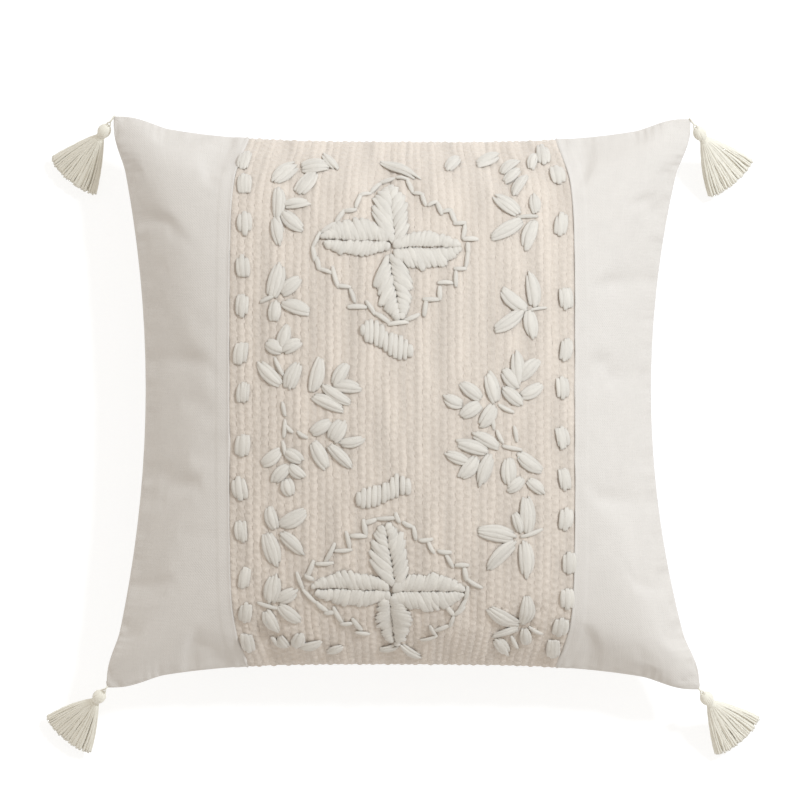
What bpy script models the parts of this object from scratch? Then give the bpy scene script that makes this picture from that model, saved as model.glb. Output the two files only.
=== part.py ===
"""A square throw pillow, lying on its back: an embroidered, zipped cover with a tassel at each
corner, over a fibre-filled insert.

Metres, +Z up. The origin is the middle of the flat patch of the back panel that the pillow
rests on. +Y runs to the top edge of the embroidered face and +X to its right edge.
"""

import math

import bmesh
import bpy
from mathutils import Euler, Matrix, Vector

MM = 0.001

# ---------------------------------------------------------------- the cover's form
# Corner tips in plan, in the order of u and v (-1 or +1 each).
CORNERS = {
    (-1, -1): (-0.2300, -0.2215),
    (1, -1): (0.2315, -0.2230),
    (-1, 1): (-0.2245, 0.2230),
    (1, 1): (0.2245, 0.2210),
}
# How far the filling draws the middle of each side in, and how square that curve is.
LEFT_PULL, RIGHT_PULL, SIDE_POWER = 0.0285, 0.0350, 2.0
TOP_PULL, BOTTOM_PULL, END_POWER = 0.0200, 0.0200, 3.3
EAR = 0.20                # part of a half side that stays straight behind each corner tip
SEAM_HEIGHT = 0.062       # the edge seam at the middle of a side
CORNER_DROOP = 0.012      # how much lower the seam is at the corners
FRONT_CROWN = 0.080       # front panel's middle above the edge seam
CROWN_POWER = 1.05        # 1 is a round edge, above 1 is a sharper one
BACK_FLATTENING = 1.12    # above 1 the back rests on a flat patch
CLOTH = 0.0015            # thickness of the cover's cloth
GAP = 0.0003              # between neighbouring pieces

# Centre panel: half its width, and how far its seams draw in at the top and bottom edges.
PANEL_HALF, PANEL_NARROWING, PANEL_POWER = 0.1290, 0.0110, 8

# Insert: plan margin inside the cover, and its ticking.
INSERT_MARGIN = 0.016
INSERT_CLEARANCE = 0.0040
TICKING = 0.0012

# ---------------------------------------------------------------- concealed zip
# A straight slit in the back, just under the bottom seam. Its frame has X along the slit,
# Y up the cloth to the seam and Z out of the pillow.
SLIT_Y, SLIT_Z = -0.1985, 0.0500
SLIT_TILT = math.radians(120)       # turns the frame's Z from straight up to out and down
SLIT_ANGLE = math.radians(-77)      # row of the back panel that the slit follows
SLIT_HALF_LENGTH = 0.145
SLIT_BLEND = 0.045                  # over this length the slit closes to a plain seam
SLIT_HALF_OPENING = 0.0012
COIL_RADIUS, COIL_OFFSET, COIL_DEPTH = 0.0011, 0.0016, 0.0052
CHAIN_START, CHAIN_END = -0.130, 0.124
TAPE_WIDTH, TAPE_THICKNESS = 0.006, 0.0005
SLIDER_X = 0.130                    # closed: at the right-hand end
SLIDER_LENGTH = 0.009
STOP_LENGTH = 0.004
STOP_BEVEL = 0.0004
# The slider's plates lie outside and inside the chain; each is given from its near face to its
# far face, out from the cloth. A web joins them between the rows and a fin stands outside.
PLATE_HALF, WEB_HALF, FIN_HALF = 0.0036, 0.0002, 0.0008
OUTER_PLATE = (-0.0029, -0.0037)
INNER_PLATE = (-0.0067, -0.0075)
HINGE_OUT = 0.0023                  # pull tab's hinge, out from the cloth
FIN_ABOVE_HINGE, EYE_RADIUS, EYE_SIDES = 0.0019, 0.0012, 16
TAB_LENGTH, TAB_WIDTH, TAB_THICKNESS, TAB_BAR = 0.024, 0.0050, 0.0009, 0.0010
TAB_SLOT_LENGTH, TAB_SLOT_WIDTH = 0.0056, 0.0026

# ---------------------------------------------------------------- tassels
TASSEL_PLAN_ANGLE = math.radians(50)    # below the pillow's X axis, pointing outward
TASSEL_SLOPE = math.radians(39)         # down from level, to the floor
TASSELS = {                             # the corner that each one hangs from
    "tassel_top_left": (-1, 1),
    "tassel_top_right": (1, 1),
    "tassel_bottom_left": (-1, -1),
    "tassel_bottom_right": (1, -1),
}
TOP_PIVOT_OUT, TOP_PIVOT_BELOW = 0.0026, 0.0042    # from the tip of a top corner
BOTTOM_PIVOT_OUT = 0.0016                          # from the tip of a bottom corner
LOOP_LENGTH, LOOP_WIDTH, LOOP_RADIUS, LOOP_POINTS = 0.0036, 0.0026, 0.0007, 14
HEAD_START, HEAD_LENGTH, HEAD_WIDTH = 0.0041, 0.0125, 0.0096
NECK_START, NECK_LENGTH, NECK_RADIUS = 0.0169, 0.0030, 0.0037
SKIRT_START, SKIRT_END = 0.0202, 0.0684
SKIRT_TOP_RADIUS = 0.0036
SKIRT_END_WIDTH, SKIRT_END_THICKNESS = 0.0460, 0.0135

# ---------------------------------------------------------------- embroidery, in millimetres
STITCH_LIFT, STITCH_HEIGHT = 0.0008, 0.0020
DASH_LENGTH, DASH_HALF_WIDTH, DASH_THREAD = 0.0160, 0.0052, 0.0008
DASHES = {
    "left": [(-120, 187), (-119, 166), (-118, 135), (-119, 102), (-119, 73), (-120, 37),
             (-118, 8), (-119, -32), (-121, -64), (-120, -96), (-118, -131), (-118, -159),
             (-118, -185)],
    "right": [(108, 193), (118, 175), (119, 134), (122, 78), (122, 40), (119, 11), (119, -26),
              (121, -57), (122, -87), (123, -119), (122, -147), (120, -171), (116, -191)],
}
# Each medallion: its centre, its four petal tips and the four corners of its outline.
MEDALLIONS = {
    "upper": {
        "centre": (-8, 114),
        "tips": {"top": (-8, 162), "right": (36, 115), "bottom": (-5, 68), "left": (-53, 118)},
        "outline": [(-5, 173), (47, 116), (-2, 58), (-64, 119)],
        "bars": [(-30, 50, 1.5), (-23, 46, 4.5), (-14, 41, 5.0), (-5, 36, 4.5), (5, 30, 1.5)],
    },
    "lower": {
        "centre": (-11, -141),
        "tips": {"top": (-10, -92), "right": (42, -140), "bottom": (-8, -181),
                 "left": (-60, -139)},
        "outline": [(-8, -81), (55, -138), (-8, -192), (-73, -138)],
        "bars": [(-34, -71, 2.0), (-23, -67, 5.5), (-13, -63, 5.5), (-3, -60, 5.5),
                 (7, -56, 2.0)],
    },
}
PETAL_ROOT = 4.0                                   # from the medallion's centre
PETAL_WIDTHS = (0.6, 5.2, 10.0, 12.4, 12.0, 8.4, 1.2)   # half widths, root to tip
OUTLINE_RADIUS = 0.0014
OUTLINE_WAIST = 0.90                               # sides of the outline bow inward
# Leaf sprigs: points along each one's middle, with its half width there.
SPRIGS = {
    "left_top": [(-61, 188, 4.0), (-78, 177, 9.0), (-87, 158, 13.0), (-87, 138, 12.0),
                 (-89, 122, 3.0)],
    "left_upper": [(-90, 106, 4.0), (-91, 90, 12.0), (-90, 75, 13.0), (-94, 60, 4.0)],
    "left_middle": [(-92, 54, 4.0), (-91, 41, 12.0), (-84, 24, 14.0), (-65, 14, 14.0),
                    (-43, 4, 8.0)],
    "left_waist": [(-29, -29, 3.0), (-43, -30, 9.0), (-63, -32, 12.0), (-83, -42, 14.0),
                   (-100, -46, 6.0)],
    "left_lower": [(-90, -70, 4.0), (-89, -85, 14.0), (-89, -100, 13.0), (-91, -113, 10.0),
                   (-90, -123, 3.0)],
    "left_bottom": [(-96, -128, 4.0), (-93, -140, 12.0), (-90, -154, 14.0),
                    (-90, -166, 10.0), (-89, -175, 3.0)],
    "left_foot": [(-94, -190, 3.0), (-80, -186, 6.0), (-67, -189, 6.0), (-46, -195, 3.5)],
    "right_top": [(34, 188, 4.0), (52, 190, 6.5), (71, 189, 7.5), (87, 179, 8.5),
                  (96, 166, 3.0)],
    "right_upper": [(72, 154, 4.0), (86, 145, 12.0), (97, 137, 12.0), (102, 124, 4.0)],
    "right_shoulder": [(97, 98, 4.0), (90, 84, 13.0), (88, 69, 13.0), (90, 52, 4.0)],
    "right_middle": [(93, 44, 3.0), (88, 26, 10.0), (81, 13, 13.0), (66, 5, 13.0),
                     (45, 4, 10.0), (33, 2, 3.0)],
    "right_waist": [(34, -34, 4.0), (51, -37, 11.0), (70, -44, 14.0), (88, -51, 12.0),
                    (102, -63, 4.0)],
    "right_lower": [(90, -72, 4.0), (81, -84, 11.0), (76, -97, 12.0), (82, -112, 11.0),
                    (85, -122, 3.0)],
    "right_bottom": [(93, -150, 4.0), (86, -160, 12.0), (85, -173, 11.0), (84, -186, 7.0),
                     (82, -196, 2.5)],
}

# ---------------------------------------------------------------- mesh resolution
BACK_GRID = 14
SIDE_COLUMNS, CENTRE_COLUMNS, FRONT_ROWS = 4, 8, 14
INSERT_GRID = 12

OFF_WHITE_LINEN = ((0.66, 0.61, 0.55), 0.9)
BEIGE_RIB = ((0.58, 0.50, 0.41), 0.95)
BACKING_CLOTH = ((0.64, 0.59, 0.52), 0.9)
STITCHING = ((0.71, 0.66, 0.58), 0.85)
TASSEL_YARN = ((0.72, 0.67, 0.56), 0.85)
TICKING_CLOTH = ((0.85, 0.85, 0.84), 0.8)
FIBRE = ((0.9, 0.9, 0.9), 0.95)
ZIP_TAPE = ((0.75, 0.72, 0.66), 0.85)
ZIP_METAL = ((0.62, 0.60, 0.56), 0.35)


# ================================================================ form
def clamp(value, low, high):
    return max(low, min(high, value))


def mix(start, end, part):
    return start + (end - start) * part


def ease(part):
    part = clamp(part, 0.0, 1.0)
    return part * part * (3 - 2 * part)


def pull_in(along, depth, power):
    """How far a side's seam is drawn in, at -1..1 along it."""
    return depth * (1 - abs(along) ** power) * ease((1 - abs(along)) / EAR)


def edges_at(u, v):
    """Left and right edge at height v, and bottom and top edge at width u."""
    across, up = (u + 1) / 2, (v + 1) / 2
    left = mix(CORNERS[-1, -1][0], CORNERS[-1, 1][0], up) + pull_in(v, LEFT_PULL, SIDE_POWER)
    right = mix(CORNERS[1, -1][0], CORNERS[1, 1][0], up) - pull_in(v, RIGHT_PULL, SIDE_POWER)
    bottom = mix(CORNERS[-1, -1][1], CORNERS[1, -1][1], across)
    bottom += pull_in(u, BOTTOM_PULL, END_POWER)
    top = mix(CORNERS[-1, 1][1], CORNERS[1, 1][1], across) - pull_in(u, TOP_PULL, END_POWER)
    return left, right, bottom, top


def plan(u, v, margin=0.0):
    left, right, bottom, top = edges_at(u, v)
    x = mix(left + margin, right - margin, (u + 1) / 2)
    y = mix(bottom + margin, top - margin, (v + 1) / 2)
    return x, y


def seam_height(u, v):
    return SEAM_HEIGHT - CORNER_DROOP * abs(u * v) ** 3


def fullness(u, v):
    """1 at the middle of the pillow, 0 all along the edge seam."""
    return (max(0.0, 1 - u * u) * max(0.0, 1 - v * v)) ** (CROWN_POWER / 2)


def front_point(u, v, margin=0.0, drop=0.0):
    x, y = plan(u, v, margin)
    return Vector((x, y, seam_height(u, v) + GAP / 2 + (FRONT_CROWN - drop) * fullness(u, v)))


def back_point(u, v, margin=0.0, rise=0.0):
    x, y = plan(u, v, margin)
    seam = seam_height(u, v) - GAP / 2
    left = 1 - min(1.0, BACK_FLATTENING * fullness(u, v))
    return Vector((x, y, rise + (seam - rise) * left))


def plan_to_uv(x, y):
    u = v = 0.0
    for _ in range(30):
        left, right, bottom, top = edges_at(u, v)
        u = clamp(2 * (x - left) / (right - left) - 1, -1, 1)
        v = clamp(2 * (y - bottom) / (top - bottom) - 1, -1, 1)
    return u, v


def on_front(x_mm, y_mm, lift=0.0):
    """The point of the front above a place in plan, lifted straight off the cloth."""
    u, v = plan_to_uv(x_mm * MM, y_mm * MM)
    point = front_point(u, v)
    step = 0.002
    du = front_point(clamp(u + step, -1, 1), v) - point
    dv = front_point(u, clamp(v + step, -1, 1)) - point
    return point + du.cross(dv).normalized() * lift


def centre_seam(side, v):
    """u of the seam between the centre panel and the side panel, -1 left or +1 right."""
    x = side * (PANEL_HALF - PANEL_NARROWING * abs(v) ** PANEL_POWER)
    left, right, _, _ = edges_at(0.0, v)
    return 2 * (x - left) / (right - left) - 1


# ================================================================ scene and materials
def clear_scene():
    for obj in list(bpy.data.objects):
        bpy.data.objects.remove(obj, do_unlink=True)


def make_collection(name):
    collection = bpy.data.collections.new(name)
    bpy.context.scene.collection.children.link(collection)
    return collection


def make_material(name, look, metallic=0.0):
    colour, roughness = look
    material = bpy.data.materials.new(name)
    material.use_nodes = True
    shader = material.node_tree.nodes["Principled BSDF"]
    shader.inputs["Base Color"].default_value = (*colour, 1.0)
    shader.inputs["Roughness"].default_value = roughness
    shader.inputs["Metallic"].default_value = metallic
    material.diffuse_color = (*colour, 1.0)
    return material


def add_object(name, data, look, parent=None, metallic=0.0):
    obj = bpy.data.objects.new(name, data)
    PILLOW.objects.link(obj)
    data.materials.append(make_material(name, look, metallic))
    if parent is not None:
        obj.parent = parent
    return obj


def add_mesh(name, bm, look, parent=None, metallic=0.0):
    bmesh.ops.recalc_face_normals(bm, faces=bm.faces)
    if bm.calc_volume(signed=True) < 0:
        bmesh.ops.reverse_faces(bm, faces=bm.faces)
    mesh = bpy.data.meshes.new(name)
    bm.to_mesh(mesh)
    bm.free()
    mesh.shade_smooth()
    mesh.set_sharp_from_angle(angle=math.radians(40))
    return add_object(name, mesh, look, parent, metallic)


def add_empty(name, location, rotation=None, parent=None):
    empty = bpy.data.objects.new(name, None)
    PILLOW.objects.link(empty)
    empty.location = location
    if rotation is not None:
        empty.rotation_euler = rotation
    empty.parent = parent
    return empty


# ================================================================ shells and pads
def unit_grid(columns, rows):
    """A flat grid from -1 to +1 both ways."""
    bm = bmesh.new()
    bmesh.ops.create_grid(bm, x_segments=columns, y_segments=rows, size=1.0)
    return bm


def shell(name, columns, rows, outer, inner, look):
    """A cloth shell: a grid laid on its outer form, thickened inward to its inner form."""
    bm = unit_grid(columns, rows)
    places = [(vert, vert.co.x, vert.co.y) for vert in bm.verts]
    thick = bmesh.ops.extrude_face_region(bm, geom=bm.faces[:], use_keep_orig=True)
    for vert in (item for item in thick["geom"] if isinstance(item, bmesh.types.BMVert)):
        vert.co = inner(vert.co.x, vert.co.y)
    for vert, across, up in places:
        vert.co = outer(across, up)
    return add_mesh(name, bm, look)


def arc(part):
    """Spreads grid lines as on a round section, closer together towards both edges."""
    return math.sin(part * math.pi / 2)


def front_panel(name, columns, edge_left, edge_right, look):
    """One of the three front panels, between two seams given as u at each v."""
    def place(across, up, margin, drop):
        v = arc(up)
        low = math.asin(clamp(edge_left(v), -1, 1))
        high = math.asin(clamp(edge_right(v), -1, 1))
        return front_point(math.sin(mix(low, high, (across + 1) / 2)), v, margin, drop)

    return shell(
        name, columns, FRONT_ROWS,
        lambda across, up: place(across, up, 0.0, 0.0),
        lambda across, up: place(across, up, CLOTH, CLOTH),
        look,
    )


def make_front_panels():
    gap = GAP / (2 * PANEL_HALF)
    front_panel("front_panel_left", SIDE_COLUMNS,
                lambda v: -1.0, lambda v: centre_seam(-1, v) - gap, OFF_WHITE_LINEN)
    front_panel("front_panel_centre", CENTRE_COLUMNS,
                lambda v: centre_seam(-1, v) + gap, lambda v: centre_seam(1, v) - gap, BEIGE_RIB)
    front_panel("front_panel_right", SIDE_COLUMNS,
                lambda v: centre_seam(1, v) + gap, lambda v: 1.0, OFF_WHITE_LINEN)


def slit_frame():
    return Matrix.Translation((0, SLIT_Y, SLIT_Z)) @ Euler((SLIT_TILT, 0, 0)).to_matrix().to_4x4()


def slit_point(u, side, margin, rise):
    """A lip of the slit, side +1 above it and -1 below; it closes to a seam past the zip."""
    turn = slit_frame().to_3x3()
    upward, outward = turn.col[1], turn.col[2]
    closed = back_point(u, arc(SLIT_ANGLE / (math.pi / 2)), margin, rise)
    straight = Vector((closed.x, SLIT_Y, SLIT_Z)) - outward * margin
    opening = ease((SLIT_HALF_LENGTH + SLIT_BLEND - abs(closed.x)) / SLIT_BLEND)
    apart = GAP / 2 + (SLIT_HALF_OPENING - GAP / 2) * opening
    return closed.lerp(straight, opening) + upward * (side * apart)


def make_back():
    """The back panel, and the narrow strip of it between the zip and the bottom seam."""
    slit = SLIT_ANGLE / (math.pi / 2)

    def panel(across, up, margin, rise):
        u = arc(across)
        if up <= -1:
            return slit_point(u, -1, margin, rise)
        return back_point(u, arc(mix(slit, 1.0, (up + 1) / 2)), margin, rise)

    def strip(across, up, margin, rise):
        u = arc(across)
        low = slit_point(u, 1, margin, rise)
        high = back_point(u, -1.0, margin, rise)
        return low.lerp(high, (up + 1) / 2)

    shell("back_panel", BACK_GRID, BACK_GRID,
          lambda across, up: panel(across, up, 0.0, 0.0),
          lambda across, up: panel(across, up, CLOTH, CLOTH), BACKING_CLOTH)
    shell("back_zip_strip", BACK_GRID, 1,
          lambda across, up: strip(across, up, 0.0, 0.0),
          lambda across, up: strip(across, up, CLOTH, CLOTH), BACKING_CLOTH)


def make_insert():
    """The insert's two ticking halves, and the fibre that fills them."""
    inside = INSERT_MARGIN + TICKING + GAP
    below = INSERT_CLEARANCE + TICKING + GAP

    def half(name, point, look):
        shell(name, INSERT_GRID, INSERT_GRID,
              lambda across, up: point(arc(across), arc(up), INSERT_MARGIN, INSERT_CLEARANCE),
              lambda across, up: point(arc(across), arc(up), INSERT_MARGIN + TICKING,
                                       INSERT_CLEARANCE + TICKING), look)

    half("insert_ticking_front", front_point, TICKING_CLOTH)
    half("insert_ticking_back", back_point, TICKING_CLOTH)
    shell("insert_fibre_filling", INSERT_GRID, INSERT_GRID,
          lambda across, up: front_point(arc(across), arc(up), inside, below),
          lambda across, up: back_point(arc(across), arc(up), inside, below), FIBRE)


def strip_of_stitches(name, stations, look):
    """A raised pad of stitches on the front: a grid along points given as (x, y, half width)."""
    last = len(stations) - 1
    bm = unit_grid(2, last)
    for vert in bm.verts:
        index = round((vert.co.y + 1) / 2 * last)
        x, y, half = stations[index]
        before = Vector(stations[max(index - 1, 0)][:2])
        after = Vector(stations[min(index + 1, last)][:2])
        along = (after - before).normalized()
        offset = half * vert.co.x
        vert.co = on_front(x + along.y * offset, y - along.x * offset, STITCH_LIFT)
    pad = add_mesh(name, bm, look)
    solidify = pad.modifiers.new("stitch_height", "SOLIDIFY")
    solidify.thickness = STITCH_HEIGHT
    solidify.offset = 1 if pad.data.polygons[0].normal.z > 0 else -1
    return pad


def make_dashes():
    """A column of satin dashes down each side of the centre panel, joined by their thread."""
    half_length = DASH_LENGTH / MM / 2
    wide, thread = DASH_HALF_WIDTH / MM, DASH_THREAD / MM
    for side, dashes in DASHES.items():
        stations = []
        for x, y in dashes:
            stations += [(x, y + half_length, thread), (x, y, wide), (x, y - half_length, thread)]
        strip_of_stitches(f"dashes_{side}", stations, STITCHING)


def make_medallions():
    for place, medallion in MEDALLIONS.items():
        centre = Vector(medallion["centre"])
        for petal, tip in medallion["tips"].items():
            reach = Vector(tip) - centre
            root = centre + reach.normalized() * PETAL_ROOT
            last = len(PETAL_WIDTHS) - 1
            middle = [root.lerp(Vector(tip), i / last) for i in range(last + 1)]
            stations = [(p.x, p.y, half) for p, half in zip(middle, PETAL_WIDTHS)]
            strip_of_stitches(f"medallion_{place}_petal_{petal}", stations, STITCHING)
        make_outline(f"medallion_{place}_outline", medallion["outline"], centre)
        strip_of_stitches(f"medallion_{place}_bars", medallion["bars"], STITCHING)


def make_outline(name, corners, centre):
    """A diamond of one heavy yarn around a medallion, its sides bowed inward a little."""
    plan_points = []
    for index, corner in enumerate(corners):
        start, end = Vector(corner), Vector(corners[(index + 1) % len(corners)])
        for part in (0.0, 0.25, 0.5, 0.75):
            bow = 1 - (1 - OUTLINE_WAIST) * math.sin(math.pi * part)
            plan_points.append(centre + (start.lerp(end, part) - centre) * bow)
    lift = STITCH_LIFT + OUTLINE_RADIUS
    add_tube(name, [on_front(p.x, p.y, lift) for p in plan_points], OUTLINE_RADIUS, STITCHING,
             closed=True)


def make_sprigs():
    for place, stations in SPRIGS.items():
        strip_of_stitches(f"sprig_{place}", stations, STITCHING)


def add_tube(name, points, radius, look, closed=False, parent=None):
    curve = bpy.data.curves.new(name, "CURVE")
    curve.dimensions = "3D"
    curve.bevel_depth = radius
    curve.bevel_resolution = 2
    curve.use_fill_caps = not closed
    spline = curve.splines.new("POLY")
    spline.points.add(len(points) - 1)
    for place, point in zip(spline.points, points):
        place.co = (*point, 1.0)
    spline.use_cyclic_u = closed
    return add_object(name, curve, look, parent)


# ================================================================ zip
def add_box(name, size, centre, look, parent, metallic=0.0, bevel=0.0):
    bm = bmesh.new()
    bmesh.ops.create_cube(bm, size=1.0)
    bmesh.ops.scale(bm, vec=size, verts=bm.verts)
    bmesh.ops.translate(bm, vec=centre, verts=bm.verts)
    box = add_mesh(name, bm, look, parent, metallic)
    if bevel:
        rounding = box.modifiers.new("rounding", "BEVEL")
        rounding.width = bevel
        rounding.segments = 2
    return box


def add_cutter(name, bm, parent):
    mesh = bpy.data.meshes.new(name)
    bm.to_mesh(mesh)
    bm.free()
    cutter = bpy.data.objects.new(name, mesh)
    CUTTERS.objects.link(cutter)
    cutter.parent = parent
    cutter.hide_render = True
    cutter.display_type = "WIRE"
    return cutter


def cut(obj, cutter):
    boolean = obj.modifiers.new("cut", "BOOLEAN")
    boolean.operation = "DIFFERENCE"
    boolean.solver = "EXACT"
    boolean.object = cutter


def make_zip():
    frame = add_empty("zip_frame", (0, SLIT_Y, SLIT_Z), (SLIT_TILT, 0, 0))
    chain_length = CHAIN_END - CHAIN_START
    chain_middle = (CHAIN_END + CHAIN_START) / 2
    for side, name in ((1, "upper"), (-1, "lower")):
        coil = [(CHAIN_START, side * COIL_OFFSET, -COIL_DEPTH),
                (CHAIN_END, side * COIL_OFFSET, -COIL_DEPTH)]
        add_tube(f"zip_coil_{name}", coil, COIL_RADIUS, ZIP_TAPE, parent=frame)
        edge = COIL_OFFSET + COIL_RADIUS + GAP
        add_box(f"zip_tape_{name}", (chain_length, TAPE_WIDTH, TAPE_THICKNESS),
                (chain_middle, side * (edge + TAPE_WIDTH / 2), -COIL_DEPTH), ZIP_TAPE, frame)
    stop_size = (STOP_LENGTH, 2 * (COIL_OFFSET + COIL_RADIUS), 2 * COIL_RADIUS)
    for name, x in (("bottom", CHAIN_START - GAP - STOP_LENGTH / 2),
                    ("top", SLIDER_X + SLIDER_LENGTH / 2 + GAP + STOP_LENGTH / 2)):
        add_box(f"zip_{name}_stop", stop_size, (x, 0, -COIL_DEPTH), ZIP_METAL, frame,
                metallic=1.0, bevel=STOP_BEVEL)
    make_slider(frame)


def make_slider(frame):
    """Slider: two plates either side of the chain, a web between its rows, and a fin outside."""
    fin_top = HINGE_OUT + FIN_ABOVE_HINGE
    outer_face, outer_back = OUTER_PLATE
    inner_face, inner_back = INNER_PLATE
    right_half = [
        (FIN_HALF, fin_top), (FIN_HALF, outer_face), (PLATE_HALF, outer_face),
        (PLATE_HALF, outer_back), (WEB_HALF, outer_back), (WEB_HALF, inner_face),
        (PLATE_HALF, inner_face), (PLATE_HALF, inner_back),
    ]
    profile = right_half + [(-across, out) for across, out in reversed(right_half)]

    carriage = add_empty("zip_slider_origin", (SLIDER_X, 0, 0), parent=frame)
    bm = bmesh.new()
    outline = [bm.verts.new((-SLIDER_LENGTH / 2, across, out)) for across, out in profile]
    face = bm.faces.new(outline)
    body = bmesh.ops.extrude_face_region(bm, geom=[face], use_keep_orig=True)
    moved = [item for item in body["geom"] if isinstance(item, bmesh.types.BMVert)]
    bmesh.ops.translate(bm, vec=(SLIDER_LENGTH, 0, 0), verts=moved)
    slider = add_mesh("zip_slider", bm, ZIP_METAL, carriage, metallic=1.0)

    eye = bmesh.new()
    along_y = Matrix.Translation((0, 0, HINGE_OUT)) @ Matrix.Rotation(math.pi / 2, 4, "X")
    bmesh.ops.create_cone(eye, cap_ends=True, segments=EYE_SIDES, radius1=EYE_RADIUS,
                          radius2=EYE_RADIUS, depth=4 * FIN_HALF, matrix=along_y)
    cut(slider, add_cutter("slider_eye_cutter", eye, carriage))
    make_pull_tab(carriage)


def make_pull_tab(carriage):
    """Flat tab whose end bar passes through the slider's eye; it lies back along the zip."""
    hinge = add_empty("pull_tab_hinge", (0, 0, HINGE_OUT), parent=carriage)
    tab = add_box("zip_pull_tab", (TAB_LENGTH, TAB_WIDTH, TAB_THICKNESS),
                  ((TAB_BAR - TAB_LENGTH) / 2, 0, 0), ZIP_METAL, hinge, metallic=1.0)
    slot = bmesh.new()
    bmesh.ops.create_cube(slot, size=1.0)
    slot_size = (TAB_SLOT_LENGTH, TAB_SLOT_WIDTH, 4 * TAB_THICKNESS)
    bmesh.ops.scale(slot, vec=slot_size, verts=slot.verts)
    slot_middle = (-(TAB_BAR + TAB_SLOT_LENGTH) / 2, 0, 0)
    bmesh.ops.translate(slot, vec=slot_middle, verts=slot.verts)
    cut(tab, add_cutter("pull_tab_slot_cutter", slot, hinge))


# ================================================================ tassels
def tassel_hinge(corner):
    """A corner tassel's pivot, just off the corner tip, and the turn of its frame.

    The frame's Z runs down the tassel and its X is level, across the fan of the skirt.
    """
    side, end = corner
    outward = Vector((side * math.cos(TASSEL_PLAN_ANGLE), -math.sin(TASSEL_PLAN_ANGLE), 0))
    x, y = CORNERS[corner]
    if end > 0:
        place = Vector((x + side * TOP_PIVOT_OUT, y - TOP_PIVOT_BELOW, 0))
    else:
        place = Vector((x, y, 0)) + outward * BOTTOM_PIVOT_OUT
    place.z = seam_height(1, 1)
    down = Vector((0, 0, -math.sin(TASSEL_SLOPE)))
    along = outward * math.cos(TASSEL_SLOPE) + down
    across = Vector((0, 0, 1)).cross(outward)
    turn = Matrix((across, along.cross(across), along)).transposed()
    return place, turn.to_euler()


def make_tassel(name, corner):
    place, turn = tassel_hinge(corner)
    hinge = add_empty(f"{name}_hinge", place, turn)
    loop = []
    for step in range(LOOP_POINTS):
        turned = 2 * math.pi * step / LOOP_POINTS
        reach = LOOP_RADIUS + (LOOP_LENGTH / 2 - LOOP_RADIUS) * (1 - math.cos(turned))
        loop.append(((LOOP_WIDTH / 2) * math.sin(turned), 0, reach))
    add_tube(f"{name}_loop", loop, LOOP_RADIUS, TASSEL_YARN, closed=True, parent=hinge)

    head = bmesh.new()
    bmesh.ops.create_uvsphere(head, u_segments=12, v_segments=8, radius=0.5)
    bmesh.ops.scale(head, vec=(HEAD_WIDTH, HEAD_WIDTH, HEAD_LENGTH), verts=head.verts)
    bmesh.ops.translate(head, vec=(0, 0, HEAD_START + HEAD_LENGTH / 2), verts=head.verts)
    add_mesh(f"{name}_head", head, TASSEL_YARN, hinge)

    neck = bmesh.new()
    bmesh.ops.create_cone(neck, cap_ends=True, segments=12, radius1=NECK_RADIUS,
                          radius2=NECK_RADIUS, depth=NECK_LENGTH)
    bmesh.ops.translate(neck, vec=(0, 0, NECK_START + NECK_LENGTH / 2), verts=neck.verts)
    binding = add_mesh(f"{name}_neck_binding", neck, TASSEL_YARN, hinge)
    rounding = binding.modifiers.new("rounding", "BEVEL")
    rounding.width = NECK_LENGTH / 4
    rounding.segments = 1

    length = SKIRT_END - SKIRT_START
    skirt = bmesh.new()
    bmesh.ops.create_cone(skirt, cap_ends=True, segments=16, radius1=1.0, radius2=1.0,
                          depth=length)
    for vert in skirt.verts:
        part = vert.co.z / length + 0.5
        vert.co.x *= mix(SKIRT_TOP_RADIUS, SKIRT_END_WIDTH / 2, part)
        vert.co.y *= mix(SKIRT_TOP_RADIUS, SKIRT_END_THICKNESS / 2, part)
        vert.co.z += SKIRT_START + length / 2
    add_mesh(f"{name}_skirt", skirt, TASSEL_YARN, hinge)


clear_scene()
PILLOW = make_collection("throw_pillow")
CUTTERS = make_collection("cutters")
make_front_panels()
make_back()
make_insert()
make_dashes()
make_medallions()
make_sprigs()
make_zip()
for tassel_name, tassel_corner in TASSELS.items():
    make_tassel(tassel_name, tassel_corner)
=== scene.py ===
"""Looks for the throw pillow: cloth, ribs, embroidery, tassels, zip and insert, on a pale floor.

Every piece follows one description of the pillow's form, the same as the CAD model's, with the
small shifts that a cloth simulation adds. Metres, except the embroidery layout, in millimetres.
"""

import math
import random

import bmesh
import bpy
import numpy as np
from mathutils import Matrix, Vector

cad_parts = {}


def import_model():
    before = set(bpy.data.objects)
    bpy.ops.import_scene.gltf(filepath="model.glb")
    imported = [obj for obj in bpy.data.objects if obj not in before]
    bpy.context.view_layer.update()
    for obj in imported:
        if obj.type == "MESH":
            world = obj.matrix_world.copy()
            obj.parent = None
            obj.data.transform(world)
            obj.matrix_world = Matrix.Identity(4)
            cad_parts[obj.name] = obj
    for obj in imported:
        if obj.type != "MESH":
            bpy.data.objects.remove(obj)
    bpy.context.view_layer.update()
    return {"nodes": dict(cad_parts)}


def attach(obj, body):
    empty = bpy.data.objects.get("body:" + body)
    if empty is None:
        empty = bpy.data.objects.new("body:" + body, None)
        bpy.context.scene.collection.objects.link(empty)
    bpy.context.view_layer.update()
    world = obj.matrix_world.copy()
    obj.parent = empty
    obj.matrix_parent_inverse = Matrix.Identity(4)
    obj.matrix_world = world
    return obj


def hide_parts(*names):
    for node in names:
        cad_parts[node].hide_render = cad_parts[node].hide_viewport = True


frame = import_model()

MM = 0.001

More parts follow.
